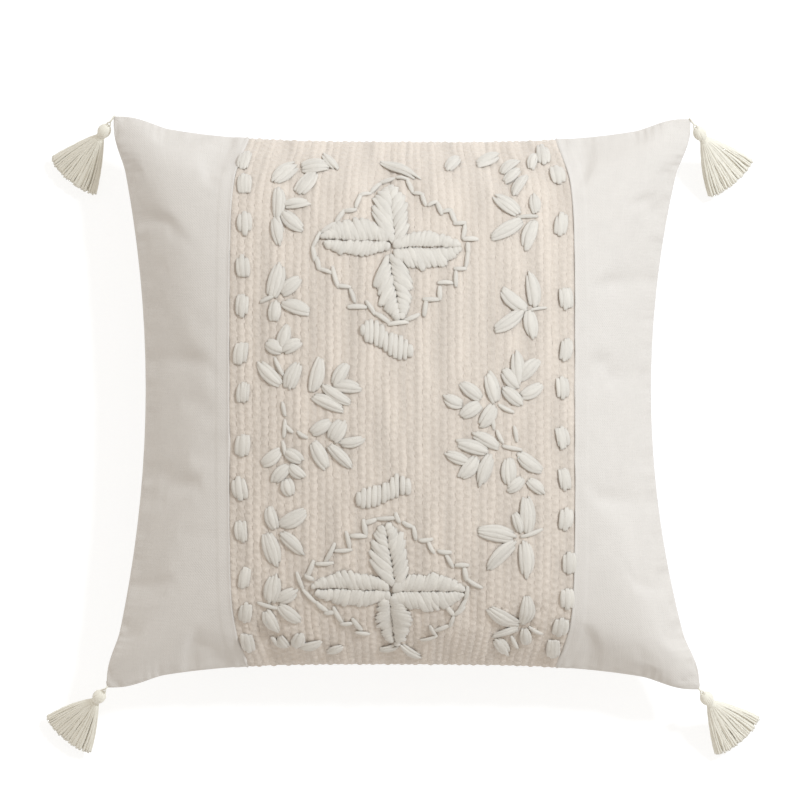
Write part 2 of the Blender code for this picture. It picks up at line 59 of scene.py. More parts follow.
# -------- the pillow's form, as in CAD
CORNERS = {
    (-1, -1): (-0.2300, -0.2215),
    (1, -1): (0.2315, -0.2230),
    (-1, 1): (-0.2245, 0.2230),
    (1, 1): (0.2245, 0.2210),
}
LEFT_PULL, RIGHT_PULL, SIDE_POWER = 0.0285, 0.0350, 2.0
TOP_PULL, BOTTOM_PULL, END_POWER = 0.0200, 0.0200, 3.3
EAR = 0.20
SEAM_HEIGHT = 0.062
CORNER_DROOP = 0.012
FRONT_CROWN = 0.080
CROWN_POWER = 1.05
BACK_FLATTENING = 1.12
CLOTH = 0.0008
GAP = 0.0003
PANEL_HALF, PANEL_NARROWING, PANEL_POWER = 0.1290, 0.0110, 8

# -------- cloth simulation
SIM_CELLS = 64                 # along each side of the pillow
SIM_FRAMES = 20
SIM_PRESSURE = 4.0
SIM_GROWTH = 0.015             # extra cloth that the seams gather in
SIM_CAP = 0.0065               # how far a point may move
SIM_CALM = 0.16                # the part of each half where sideways shifts fade to the seam
SIM_STILL = 0.04               # the part at each corner that doesn't rise or sink
TABLE_CELLS = 320              # of the surface table that every piece reads
LOWEST = 0.0004                # the cloth stays this far above the floor

# -------- zip, as in CAD
SLIT_Y, SLIT_Z = -0.1985, 0.0500
SLIT_TILT = math.radians(120)
SLIT_ANGLE = math.radians(-77)
SLIT_HALF_LENGTH = 0.145
SLIT_BLEND = 0.045
SLIT_HALF_OPENING = 0.0012
COIL_RADIUS, COIL_OFFSET, COIL_DEPTH = 0.0011, 0.0016, 0.0052
COIL_PITCH, WIRE = 0.0016, 0.00026
CHAIN_START, CHAIN_END = -0.130, 0.124
TAPE_WIDTH, TAPE_THICKNESS = 0.006, 0.0005

# -------- tassels, as in CAD
TASSEL_PLAN_ANGLE = math.radians(50)
TASSEL_SLOPE = math.radians(39)
TASSELS = {
    "tassel_top_left": (-1, 1),
    "tassel_top_right": (1, 1),
    "tassel_bottom_left": (-1, -1),
    "tassel_bottom_right": (1, -1),
}
TOP_PIVOT_OUT, TOP_PIVOT_BELOW = 0.0026, 0.0042
BOTTOM_PIVOT_OUT = 0.0016
LOOP_REACH, LOOP_WIDTH, LOOP_RADIUS = 0.0054, 0.0026, 0.0007      # into the head
HEAD_START, HEAD_LENGTH, HEAD_WIDTH = 0.0041, 0.0125, 0.0096
NECK_START, NECK_LENGTH, NECK_RADIUS = 0.0169, 0.0030, 0.0037
SKIRT_START, SKIRT_END = 0.0202, 0.0684
SKIRT_TOP_RADIUS = 0.0036
SKIRT_END_WIDTH, SKIRT_END_THICKNESS = 0.0460, 0.0135
HEAD_STRANDS, NECK_TURNS, SKIRT_STRANDS, SKIRT_LOCKS = 22, 5, 290, 7
HEAD_YARN = 0.00085, 0.0006                     # half its width and height
LOOP_YARN, LOOP_PLY = 0.00045, 0.00035          # half thickness, and how far off the middle
TIE_YARN, TIE_PLY = 0.00042, 0.00025
NECK_YARN, SKIRT_YARN, SKIRT_ROOM = 0.00034, 0.00084, 0.0009
GOLDEN_TURN = 0.618034

# -------- embroidery, in millimetres
DASHES = {
    "left": [
        (-120, 187), (-119, 166), (-118, 135), (-119, 102), (-119, 73), (-120, 37), (-118, 8),
        (-119, -32), (-121, -64), (-120, -96), (-118, -131), (-118, -159), (-118, -185)],
    "right": [
        (108, 193), (118, 175), (119, 134), (122, 78), (122, 40), (119, 11), (119, -26),
        (121, -57), (122, -87), (125, -120), (124, -147), (120, -171), (116, -191)],
}
# Leaves of each sprig: where it starts, where its tip is, and its width. Narrow ones are stems.
SPRIGS = {
    "left_top": [
        (-97, 168, -80, 188, 14), (-93, 138, -94, 166, 10), (-96, 139, -91, 117, 9),
        (-90, 148, -68, 151, 9), (-90, 143, -73, 129, 11), (-79, 158, -65, 181, 14),
        (-78, 184, -54, 183, 14), (-60, 195, -49, 179, 8), (-94, 142, -89, 128, 4)],
    "left_upper": [
        (-97, 78, -91, 106, 13), (-90, 81, -75, 94, 11), (-89, 75, -66, 66, 11),
        (-94, 76, -96, 59, 10), (-106, 75, -95, 80, 4)],
    "left_middle": [
        (-90, 40, -85, 59, 10), (-88, 39, -103, 45, 11), (-89, 38, -74, 46, 10),
        (-90, 14, -108, 31, 11), (-84, 10, -77, 31, 12), (-67, 8, -60, 35, 11),
        (-50, 13, -40, 31, 10), (-50, 13, -29, 10, 10), (-59, 13, -37, -1, 9),
        (-67, 5, -42, -6, 10), (-95, 34, -88, 20, 4), (-89, 1, -87, -10, 4),
        (-87, -12, -88, -26, 4)],
    "left_waist": [
        (-68, -22, -51, -13, 10), (-53, -28, -42, -12, 13), (-47, -30, -26, -26, 8),
        (-66, -28, -56, -50, 11), (-54, -31, -37, -49, 9), (-90, -35, -106, -47, 10),
        (-87, -36, -73, -44, 10), (-84, -47, -97, -60, 10), (-84, -46, -72, -56, 9),
        (-86, -56, -83, -70, 11), (-87, -16, -81, -22, 4), (-78, -21, -70, -26, 4),
        (-89, -28, -87, -39, 4)],
    "left_lower": [
        (-94, -94, -100, -75, 10), (-91, -91, -71, -80, 12), (-101, -97, -94, -123, 13),
        (-91, -97, -73, -113, 10)],
    "left_bottom": [
        (-99, -150, -95, -127, 13), (-94, -148, -78, -140, 11), (-93, -152, -76, -168, 11),
        (-103, -156, -94, -177, 11), (-109, -150, -93, -155, 4)],
    "left_foot": [
        (-93, -181, -86, -191, 9), (-81, -190, -76, -176, 11), (-78, -190, -61, -184, 9),
        (-57, -195, -45, -189, 8), (-100, -182, -92, -191, 5)],
    "right_top": [
        (34, 179, 44, 194, 10), (57, 184, 75, 197, 11), (76, 179, 90, 190, 9),
        (77, 171, 91, 182, 9), (84, 157, 95, 175, 9), (98, 180, 103, 195, 8)],
    "right_upper": [
        (89, 142, 68, 157, 12), (100, 142, 99, 158, 9), (90, 137, 65, 122, 11),
        (99, 137, 92, 113, 11), (86, 139, 102, 140, 4)],
    "right_shoulder": [
        (98, 71, 95, 98, 11), (93, 68, 72, 87, 11), (90, 69, 67, 53, 11), (95, 69, 97, 47, 11),
        (95, 69, 108, 71, 3)],
    "right_middle": [
        (87, 14, 84, 39, 11), (86, 11, 74, 26, 11), (88, 17, 102, 34, 11), (88, 5, 105, 14, 10),
        (89, -1, 74, 12, 10), (69, 0, 63, 25, 11), (58, 3, 42, 16, 10), (45, -1, 30, 5, 10),
        (59, -1, 42, -10, 11), (69, -1, 57, -18, 11), (71, -1, 83, -7, 4)],
    "right_waist": [
        (64, -37, 38, -28, 10), (72, -33, 50, -22, 9), (49, -44, 31, -37, 9),
        (55, -40, 42, -57, 11), (66, -39, 57, -62, 11), (79, -41, 80, -62, 12),
        (86, -37, 105, -52, 11), (90, -56, 77, -66, 9), (93, -57, 106, -68, 9),
        (74, -32, 89, -35, 4), (66, -8, 68, -20, 4), (70, -20, 75, -30, 4), (83, -17, 85, -29, 4)],
    "right_lower": [
        (93, -98, 92, -68, 12), (88, -97, 83, -80, 8), (84, -101, 55, -94, 13),
        (84, -104, 63, -125, 11), (91, -103, 93, -132, 12), (88, -100, 105, -94, 4)],
    "right_bottom": [
        (88, -172, 64, -154, 12), (92, -171, 94, -144, 12), (89, -175, 66, -181, 8),
        (93, -175, 95, -190, 9), (71, -183, 82, -199, 10), (83, -182, 89, -192, 4),
        (96, -173, 107, -178, 4)],
}
MEDALLIONS = {
    "upper": {
        "petals": {
            "top": (-5, 117, -10, 168, 14, 12, 1.9),
            "right": (-5, 115, 44, 116, 12, 16, 0.5),
            "bottom": (-10, 110, -1, 61, 12, 14, 1.5),
            "left": (-11, 120, -61, 122, 12, 17, 0.4),
        },
        "leaves": [
            (-17, 189, 14, 171, 9)],
        "outline": [
            (-5, 174, -17, 171), (-16, 171, -24, 160), (-23, 160, -33, 156), (-31, 157, -35, 146),
            (-34, 145, -44, 144), (-43, 145, -50, 135), (-49, 135, -61, 127), (-61, 128, -67, 116),
            (-67, 117, -65, 105), (-64, 109, -62, 99), (-63, 100, -51, 96), (-52, 102, -47, 85),
            (-49, 87, -38, 86), (-39, 85, -35, 74), (-41, 71, -26, 71), (-27, 76, -20, 65),
            (-21, 67, -9, 59), (-11, 58, 5, 60), (1, 61, 13, 66), (18, 77, 16, 64),
            (15, 77, 28, 77), (28, 87, 28, 76), (26, 89, 38, 89), (40, 99, 40, 86),
            (38, 100, 48, 100), (49, 114, 47, 100), (-5, 174, 6, 170), (4, 170, 8, 160),
            (8, 160, 17, 158), (15, 159, 18, 149), (19, 149, 27, 152), (26, 152, 30, 141),
            (29, 143, 38, 145), (36, 145, 40, 134), (38, 134, 48, 135), (47, 134, 45, 122),
            (45, 122, 57, 122), (49, 120, 49, 111)],
        "bars": [
            (-29, 50, -29, 58), (-26, 45, -26, 61), (-23, 44, -23, 62), (-19, 42, -19, 61),
            (-16, 41, -15, 58), (-12, 38, -12, 53), (-9, 35, -8, 52), (-5, 33, -5, 51),
            (-2, 32, -1, 50), (2, 32, 3, 47), (6, 34, 6, 43)],
    },
    "lower": {
        "petals": {
            "top": (-5, -137, -13, -89, 14, 13, 1.5),
            "right": (-6, -141, 47, -141, 14, 15, 0.5),
            "bottom": (-10, -146, -5, -190, 14, 12, 0.4),
            "left": (-11, -140, -68, -139, 13, 14, 0.4),
        },
        "leaves": [
            (-18, -193, -1, -190, 6), (-1, -189, 16, -199, 7)],
        "outline": [
            (-3, -85, -20, -86), (-19, -86, -29, -89), (-29, -86, -27, -99), (-26, -99, -39, -99),
            (-42, -95, -39, -109), (-37, -109, -51, -110), (-50, -104, -58, -119),
            (-51, -119, -65, -120), (-66, -117, -72, -131), (-73, -128, -66, -132),
            (-79, -126, -74, -140), (-75, -139, -64, -151), (-65, -149, -56, -158),
            (-59, -159, -50, -158), (-52, -154, -45, -167), (-47, -168, -37, -167),
            (-38, -163, -31, -175), (-36, -176, -25, -179), (-5, -81, -2, -89), (0, -88, 8, -92),
            (8, -91, 10, -102), (12, -102, 23, -101), (19, -102, 24, -112), (26, -110, 37, -111),
            (32, -112, 38, -123), (39, -121, 50, -121), (46, -122, 48, -133), (48, -131, 60, -139),
            (49, -137, 47, -149), (48, -147, 41, -159), (33, -153, 39, -161), (39, -161, 47, -154),
            (39, -161, 36, -171), (36, -169, 24, -175), (21, -170, 26, -179),
            (27, -179, 14, -184)],
        "bars": [
            (-32, -76, -32, -66), (-29, -78, -28, -63), (-25, -78, -24, -62), (-21, -77, -20, -61),
            (-18, -76, -17, -61), (-14, -74, -13, -59), (-11, -72, -10, -59), (-8, -71, -7, -55),
            (-4, -70, -4, -52), (0, -68, 0, -54), (4, -68, 4, -56)],
    },
}


# ======== form
def ease(part):
    part = np.clip(part, 0.0, 1.0)
    return part * part * (3 - 2 * part)


def mix(start, end, part):
    return start + (end - start) * part


def arc(part):
    """Spreads grid lines as on a round section, closer together towards both edges."""
    return np.sin(np.asarray(part, float) * np.pi / 2)


def pull_in(along, depth, power):
    return depth * (1 - np.abs(along) ** power) * ease((1 - np.abs(along)) / EAR)


def edges_at(u, v):
    across, up = (u + 1) / 2, (v + 1) / 2
    left = mix(CORNERS[-1, -1][0], CORNERS[-1, 1][0], up) + pull_in(v, LEFT_PULL, SIDE_POWER)
    right = mix(CORNERS[1, -1][0], CORNERS[1, 1][0], up) - pull_in(v, RIGHT_PULL, SIDE_POWER)
    bottom = mix(CORNERS[-1, -1][1], CORNERS[1, -1][1], across)
    bottom = bottom + pull_in(u, BOTTOM_PULL, END_POWER)
    top = mix(CORNERS[-1, 1][1], CORNERS[1, 1][1], across) - pull_in(u, TOP_PULL, END_POWER)
    return left, right, bottom, top


def seam_height(u, v):
    return SEAM_HEIGHT - CORNER_DROOP * np.abs(u * v) ** 3


def fullness(u, v):
    return (np.maximum(0, 1 - u * u) * np.maximum(0, 1 - v * v)) ** (CROWN_POWER / 2)


def place_in_plan(u, v):
    left, right, bottom, top = edges_at(u, v)
    return mix(left, right, (u + 1) / 2), mix(bottom, top, (v + 1) / 2)


def front_form(u, v):
    x, y = place_in_plan(u, v)
    return np.stack([x, y, seam_height(u, v) + GAP / 2 + FRONT_CROWN * fullness(u, v)], -1)


def back_form(u, v):
    x, y = place_in_plan(u, v)
    left = 1 - np.minimum(1.0, BACK_FLATTENING * fullness(u, v))
    return np.stack([x, y, (seam_height(u, v) - GAP / 2) * left], -1)


def plan_to_uv(x, y):
    u, v = np.zeros_like(x), np.zeros_like(y)
    for _ in range(16):
        left, right, bottom, top = edges_at(u, v)
        u = np.clip(2 * (x - left) / (right - left) - 1, -1, 1)
        v = np.clip(2 * (y - bottom) / (top - bottom) - 1, -1, 1)
    return u, v


def centre_seam(side, v):
    """u of the seam between the centre panel and a side panel."""
    x = side * (PANEL_HALF - PANEL_NARROWING * np.abs(v) ** PANEL_POWER)
    left, right, _, _ = edges_at(np.zeros_like(v), v)
    return 2 * (x - left) / (right - left) - 1


# ======== grids
def unit(vectors):
    return vectors / np.maximum(np.linalg.norm(vectors, axis=-1, keepdims=True), 1e-12)


def normals_of(places, outward):
    """Unit normals of a grid of points, turned out by 1 or -1."""
    return unit(np.cross(np.gradient(places, axis=0), np.gradient(places, axis=1))) * outward


def square_grid(cells):
    """u and v of a grid over the whole pillow, closer together towards its seam."""
    steps = arc(np.linspace(-1, 1, cells + 1))
    return np.meshgrid(steps, steps, indexing="ij")


def grid_quads(ids, flip):
    a, b, c, d = ids[:-1, :-1], ids[1:, :-1], ids[1:, 1:], ids[:-1, 1:]
    return np.stack((a, d, c, b) if flip else (a, b, c, d), -1).reshape(-1, 4)


def closed_pad(front, back):
    """Two square grids that share their rim: points, faces, and both grids of point numbers."""
    size = len(front)
    front_ids = np.arange(size * size).reshape(size, size)
    back_ids = front_ids.copy()
    back_ids[1:-1, 1:-1] = size * size + np.arange((size - 2) ** 2).reshape(size - 2, size - 2)
    points = np.concatenate([front.reshape(-1, 3), back[1:-1, 1:-1].reshape(-1, 3)])
    faces = np.concatenate([grid_quads(front_ids, False), grid_quads(back_ids, True)])
    return points, faces, front_ids, back_ids


# ======== cloth simulation
def add_cloth(cover, seam):
    """Makes the cover cloth that is pushed out from inside and held along its seam."""
    cover.vertex_groups.new(name="seam").add(seam.tolist(), 1.0, "REPLACE")
    cloth = cover.modifiers.new("cloth", "CLOTH")
    settings = cloth.settings
    settings.quality = 6
    settings.mass = 0.3
    settings.tension_stiffness = settings.compression_stiffness = 25
    settings.shear_stiffness = 12
    settings.bending_stiffness = 1.2
    settings.use_pressure = True
    settings.uniform_pressure_force = SIM_PRESSURE
    settings.shrink_min = -SIM_GROWTH
    settings.vertex_group_mass = "seam"
    settings.effector_weights.gravity = 0.0
    cloth.collision_settings.use_self_collision = False
    cloth.point_cache.frame_start, cloth.point_cache.frame_end = 1, SIM_FRAMES


def settled_places(cover):
    """Where the cover's points are after the simulation's last frame."""
    for step in range(1, SIM_FRAMES + 1):
        bpy.context.scene.frame_set(step)
    moved = cover.evaluated_get(bpy.context.evaluated_depsgraph_get()).data
    settled = np.zeros(len(moved.vertices) * 3, np.float32)
    moved.vertices.foreach_get("co", settled)
    bpy.context.scene.frame_set(1)
    return settled.reshape(-1, 3).astype(float)


def simulate_cover():
    """How far the filled cover's cloth moves from the plain form, on the front and the back."""
    u, v = square_grid(SIM_CELLS)
    rest, faces, front_ids, back_ids = closed_pad(front_form(u, v), back_form(u, v))
    mesh = bpy.data.meshes.new("sim_cover")
    mesh.from_pydata(rest.tolist(), [], faces.tolist())
    cover = place_object("sim_cover", mesh)
    seam = (front_ids[0], front_ids[-1], front_ids[:, 0], front_ids[:, -1])
    add_cloth(cover, np.unique(np.concatenate(seam)))
    shift = settled_places(cover) - rest
    bpy.data.objects.remove(cover)
    bpy.data.meshes.remove(mesh)
    length = np.linalg.norm(shift, axis=1, keepdims=True)
    shift *= SIM_CAP * np.tanh(length / SIM_CAP) / np.maximum(length, 1e-9)
    edge = 1 - np.abs(np.linspace(-1, 1, SIM_CELLS + 1))
    calm = ease(np.minimum(edge[:, None], edge[None, :]) / SIM_CALM)
    still = ease((np.maximum(edge[:, None], edge[None, :]) - SIM_STILL) / (2 * SIM_CALM))
    found = []
    for ids in (front_ids, back_ids):
        grid = shift[ids]
        grid[..., :2] *= calm[..., None]
        grid[..., 2] *= still
        found.append(grid)
    return found


def finer(values, cells):
    """Values on a square grid, read at a finer one by smooth (Catmull-Rom) interpolation."""
    for axis in (0, 1):
        values = np.moveaxis(values, axis, 0)
        coarse = len(values) - 1
        place = np.linspace(0, coarse, cells + 1)
        index = np.minimum(place.astype(int), coarse - 1)
        t = (place - index)[:, None, None]
        p = [values[np.clip(index + k, 0, coarse)] for k in (-1, 0, 1, 2)]
        values = 0.5 * (2 * p[1] + (p[2] - p[0]) * t
                        + (2 * p[0] - 5 * p[1] + 4 * p[2] - p[3]) * t ** 2
                        + (3 * p[1] - p[0] - 3 * p[2] + p[3]) * t ** 3)
        values = np.moveaxis(values, 0, axis)
    return values


class Surface:
    """The front or the back of the cover, as a table of places and normals read at any u, v."""

    def __init__(self, form, shift, outward):
        places = form(*square_grid(TABLE_CELLS))
        if shift is not None:
            places = places + finer(shift, TABLE_CELLS)
        places[..., 2] = np.maximum(places[..., 2], LOWEST)
        self.table = np.concatenate([places, normals_of(places, outward)], -1)

    def read(self, u, v):
        """Places and unit normals."""
        a = (np.arcsin(np.clip(u, -1, 1)) * 2 / np.pi + 1) / 2 * TABLE_CELLS
        b = (np.arcsin(np.clip(v, -1, 1)) * 2 / np.pi + 1) / 2 * TABLE_CELLS
        i = np.minimum(a.astype(int), TABLE_CELLS - 1)
        j = np.minimum(b.astype(int), TABLE_CELLS - 1)
        s, t = (a - i)[..., None], (b - j)[..., None]
        found = (self.table[i, j] * (1 - s) * (1 - t) + self.table[i + 1, j] * s * (1 - t)
                 + self.table[i, j + 1] * (1 - s) * t + self.table[i + 1, j + 1] * s * t)
        return found[..., :3], unit(found[..., 3:])


# ======== meshes
def place_object(name, data):
    obj = bpy.data.objects.new(name, data)
    bpy.context.scene.collection.objects.link(obj)
    return obj


def build_mesh(name, points, groups, uv_groups):
    """A mesh object from arrays of faces, one row of vertex numbers (and of UVs) a face."""
    mesh = bpy.data.meshes.new(name)
    loops = np.concatenate([group.ravel() for group in groups]).astype(np.int32)
    sizes = np.concatenate([np.full(len(group), group.shape[1]) for group in groups])
    starts = np.concatenate([[0], np.cumsum(sizes)[:-1]]).astype(np.int32)
    mesh.vertices.add(len(points))
    mesh.vertices.foreach_set("co", np.asarray(points, np.float32).ravel())
    mesh.loops.add(len(loops))
    mesh.loops.foreach_set("vertex_index", loops)
    mesh.polygons.add(len(sizes))
    mesh.polygons.foreach_set("loop_start", starts)
    mesh.update(calc_edges=True)
    uvs = np.concatenate([group.reshape(-1, 2) for group in uv_groups]).astype(np.float32)
    mesh.uv_layers.new(name="cloth").data.foreach_set("uv", uvs.ravel())
    mesh.shade_smooth()
    return place_object(name, mesh)


def finish_piece(obj, body, slot, *nodes, look=None):
    """Gives a piece its body and the slot's own material unless told another, and hides the named
    CAD parts.
    """
    obj.data.materials.append(MATERIALS[look or slot])
    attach(obj, body)
    if nodes:
        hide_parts(*nodes)
    return obj


def distance_along(path):
    return np.concatenate([[0], np.cumsum(np.linalg.norm(np.diff(path, axis=0), axis=1))])


def lengths_along(points, axis):
    """Distance travelled along one axis of a grid of points, from its middle line."""
    steps = np.linalg.norm(np.diff(points, axis=axis), axis=-1)
    zero = np.zeros_like(np.take(steps, [0], axis=axis))
    total = np.concatenate([zero, np.cumsum(steps, axis=axis)], axis=axis)
    middle = np.take(total, [total.shape[axis] // 2], axis=axis)
    return total - middle


def thick_sheet(name, outer, normals, thickness):
    """A closed sheet of cloth from a grid of outer points, thickened along its normals."""
    rows, columns = outer.shape[:2]
    inner = outer - normals * thickness
    ids = np.arange(rows * columns).reshape(rows, columns)
    under = ids + rows * columns
    rims = [np.stack(corners, -1) for corners in (
        (ids[:-1, 0], under[:-1, 0], under[1:, 0], ids[1:, 0]),
        (ids[1:, -1], under[1:, -1], under[:-1, -1], ids[:-1, -1]),
        (ids[0, 1:], under[0, 1:], under[0, :-1], ids[0, :-1]),
        (ids[-1, :-1], under[-1, :-1], under[-1, 1:], ids[-1, 1:]),
    )]
    faces = np.concatenate([grid_quads(ids, False), grid_quads(under, True), *rims])
    along_u, along_v = lengths_along(outer, 0), lengths_along(outer, 1)
    uv = np.stack([along_u, along_v], -1).reshape(-1, 2)
    uv = np.concatenate([uv, uv])
    points = np.concatenate([outer.reshape(-1, 3), inner.reshape(-1, 3)])
    obj = build_mesh(name, points, [faces], [uv[faces]])
    fix_normals(obj)
    return obj


def fix_normals(obj):
    """Turns a closed mesh the right way out."""
    bm = bmesh.new()
    bm.from_mesh(obj.data)
    if bm.calc_volume(signed=True) < 0:
        bmesh.ops.reverse_faces(bm, faces=bm.faces)
        bm.to_mesh(obj.data)
    bm.free()


UV_STEP, UV_WRAP = 0.37, 7.0    # moves each strand's pattern on from the last one's


class Yarns:
    """Gathers strands, each a closed tube of its own, with as many sides as the others."""

    def __init__(self):
        self.points, self.quads, self.uvs, self.caps, self.cap_uvs = [], [], [], [], []
        self.count = self.strands = 0

    def add(self, path, up, wide, high, sides=10, section=None, lobes=0.0, twist=0.0):
        """A strand along path, with its half width and half height at each point. A round
        section unless one is given; lobes and twist give it ply ridges."""
        along = unit(np.gradient(path, axis=0))
        across = unit(np.cross(up, along))
        up = np.cross(along, across)
        rings = len(path)
        travelled = distance_along(path)
        turn = np.arange(sides) * 2 * np.pi / sides
        if section is None:
            section = np.cos(turn), np.sin(turn)
        ridge = 1 + lobes * np.cos(2 * (turn[None, :] - twist * travelled[:, None]))
        wide = (np.broadcast_to(wide, rings)[:, None] * ridge * section[0])[..., None]
        high = (np.broadcast_to(high, rings)[:, None] * ridge * section[1])[..., None]
        ring = path[:, None] + across[:, None] * wide + up[:, None] * high
        i = np.arange(rings - 1)[:, None] * sides
        k = np.arange(sides)[None]
        a, b = i + k, i + (k + 1) % sides
        quads = np.stack([a, b, b + sides, a + sides], -1).reshape(-1, 4) + self.count
        offset = self.strands * UV_STEP % UV_WRAP
        u0 = np.broadcast_to(k / sides, a.shape) + offset
        u1 = u0 + 1 / sides
        v0 = np.broadcast_to(travelled[:-1, None], a.shape)
        v1 = np.broadcast_to(travelled[1:, None], a.shape)
        uvs = np.stack([np.stack([u0, v0], -1), np.stack([u1, v0], -1),
                        np.stack([u1, v1], -1), np.stack([u0, v1], -1)], 2).reshape(-1, 4, 2)
        first = np.arange(sides)[::-1] + self.count
        last = np.arange(sides) + (rings - 1) * sides + self.count
        self.points.append(ring.reshape(-1, 3))
        self.quads.append(quads)
        self.uvs.append(uvs)
        self.caps.append(np.stack([first, last]))
        self.cap_uvs.append(np.full((2, sides, 2), offset))
        self.count += rings * sides
        self.strands += 1

    def make(self, name):
        groups = [np.concatenate(self.quads), np.concatenate(self.caps)]
        uvs = [np.concatenate(self.uvs), np.concatenate(self.cap_uvs)]
        return build_mesh(name, np.concatenate(self.points), groups, uvs)


def finish_yarns(yarns, name, body, slot, *nodes):
    finish_piece(yarns.make(name), body, slot, *nodes)


# ======== materials
def new_material(name, roughness, sheen=0.0, metallic=0.0):
    material = bpy.data.materials.new(name)
    material.use_nodes = True
    shader = material.node_tree.nodes["Principled BSDF"]
    shader.inputs["Roughness"].default_value = roughness
    shader.inputs["Metallic"].default_value = metallic
    shader.inputs["Sheen Weight"].default_value = sheen
    shader.inputs["Specular IOR Level"].default_value = 0.25 if metallic == 0 else 0.5
    return material, material.node_tree, shader


def node(tree, kind, settings=None, **inputs):
    made = tree.nodes.new(kind)
    for name, value in (settings or {}).items():
        setattr(made, name, value)
    for name, value in inputs.items():
        socket = made.inputs[int(name[1:])] if name[0] == "i" and name[1:].isdigit() \
            else made.inputs[name.replace("_", " ")]
        if isinstance(value, bpy.types.NodeSocket):
            tree.links.new(value, socket)
        else:
            socket.default_value = value
    return made


def maths(tree, operation, first, second=0.0):
    return node(tree, "ShaderNodeMath", {"operation": operation}, i0=first, i1=second).outputs[0]


def scaled_uv(tree, across, along):
    uv = node(tree, "ShaderNodeTexCoord").outputs["UV"]
    return node(tree, "ShaderNodeMapping", None, Vector=uv, Scale=(across, along, 1.0)).outputs[0]


def noise(tree, vector, scale=1.0, detail=2.0, roughness=0.5):
    made = node(tree, "ShaderNodeTexNoise", None, Vector=vector, Scale=scale, Detail=detail,
                Roughness=roughness)
    return made.outputs["Fac"]


def blend(tree, factor, dark, light):
    """A colour between two shades."""
    return node(tree, "ShaderNodeMix", {"data_type": "RGBA"}, i0=factor, i6=(*dark, 1.0),
                i7=(*light, 1.0)).outputs[2]


def tint(tree, shader, factor, dark, light):
    tree.links.new(blend(tree, factor, dark, light), shader.inputs["Base Color"])


def bump(tree, shader, height, distance):
    made = node(tree, "ShaderNodeBump", None, Height=height, Distance=distance)
    tree.links.new(made.outputs[0], shader.inputs["Normal"])


def shade(colour, factor):
    return tuple(channel * factor for channel in colour)


def woven(name, colour, thread, slub=0.35, variation=0.06, depth=0.00016):
    """Plain-weave cloth: over-and-under threads, slubs, and a slow change of shade."""
    material, tree, shader = new_material(name, 0.92, sheen=0.25)
    warp = scaled_uv(tree, 1 / thread, 1 / (thread * 14))
    weft = scaled_uv(tree, 1 / (thread * 14), 1 / thread)
    uv = scaled_uv(tree, math.pi / thread, math.pi / thread)
    parts = node(tree, "ShaderNodeSeparateXYZ", None, Vector=uv)
    uneven = noise(tree, scaled_uv(tree, 0.16 / thread, 0.16 / thread), 1.0, 2.0)
    uneven = maths(tree, "MULTIPLY", uneven, 7.0)
    across = maths(tree, "SINE", maths(tree, "ADD", parts.outputs[0], uneven))
    along = maths(tree, "SINE", maths(tree, "SUBTRACT", parts.outputs[1], uneven))
    weave = maths(tree, "MULTIPLY", across, along)
    threads = maths(tree, "ADD", noise(tree, warp, 1.0, 2.0), noise(tree, weft, 1.0, 2.0))
    slubs = maths(tree, "MULTIPLY", threads, slub * 2)
    height = maths(tree, "ADD", maths(tree, "MULTIPLY", weave, 0.35), slubs)
    bump(tree, shader, height, depth)
    slow = noise(tree, scaled_uv(tree, 60, 60), 1.0, 4.0, 0.6)
    factor = maths(tree, "ADD", maths(tree, "MULTIPLY", slow, 0.5),
                   maths(tree, "MULTIPLY", threads, 0.35))
    tint(tree, shader, factor, shade(colour, 1 - variation), shade(colour, 1 + variation))
    return material


def spun(name, colour, fibre=(9.0, 160.0), variation=0.08, depth=0.00025, contrast=1.0):
    """Yarn: fine fibres along each strand, and strands that differ a little in shade."""
    material, tree, shader = new_material(name, 0.85, sheen=0.35)
    fibres = noise(tree, scaled_uv(tree, fibre[0], fibre[1]), 1.0, 3.0, 0.6)
    fluff = noise(tree, scaled_uv(tree, fibre[0] / 3, fibre[1] * 5), 1.0, 2.0)
    height = maths(tree, "ADD", fibres, maths(tree, "MULTIPLY", fluff, 0.5))
    bump(tree, shader, height, depth)
    strand = noise(tree, scaled_uv(tree, 1.3, 12.0), 1.0, 1.0)
    factor = maths(tree, "ADD", maths(tree, "MULTIPLY", strand, 0.6),
                   maths(tree, "MULTIPLY", fibres, 0.4))
    factor = maths(tree, "MULTIPLY", maths(tree, "SUBTRACT", factor, 0.5), contrast)
    factor = maths(tree, "ADD", factor, 0.5)
    tint(tree, shader, factor, shade(colour, 1 - variation), shade(colour, 1 + variation))
    return material


def metal(name, colour):
    material, tree, shader = new_material(name, 0.38, metallic=1.0)
    position = node(tree, "ShaderNodeTexCoord").outputs["Object"]
    stretched = node(tree, "ShaderNodeMapping", None, Vector=position,
                     Scale=(300.0, 4000.0, 4000.0)).outputs[0]
    grain = noise(tree, stretched, 1.0, 3.0)
    wear = noise(tree, position, 260.0, 3.0)
    bump(tree, shader, grain, 0.00003)
    tint(tree, shader, wear, shade(colour, 0.85), colour)
    rough = node(tree, "ShaderNodeMapRange", None, Value=grain, To_Min=0.28, To_Max=0.5)
    tree.links.new(rough.outputs[0], shader.inputs["Roughness"])
    return material


def plain_stage(name, colour):
    material, tree, shader = new_material(name, 0.95)
    position = node(tree, "ShaderNodeTexCoord").outputs["Object"]
    tint(tree, shader, noise(tree, position, 3.0), shade(colour, 0.995), colour)
    shader.inputs["Emission Color"].default_value = (1.0, 1.0, 1.0, 1.0)
    shader.inputs["Emission Strength"].default_value = FLOOR_GLOW
    return material


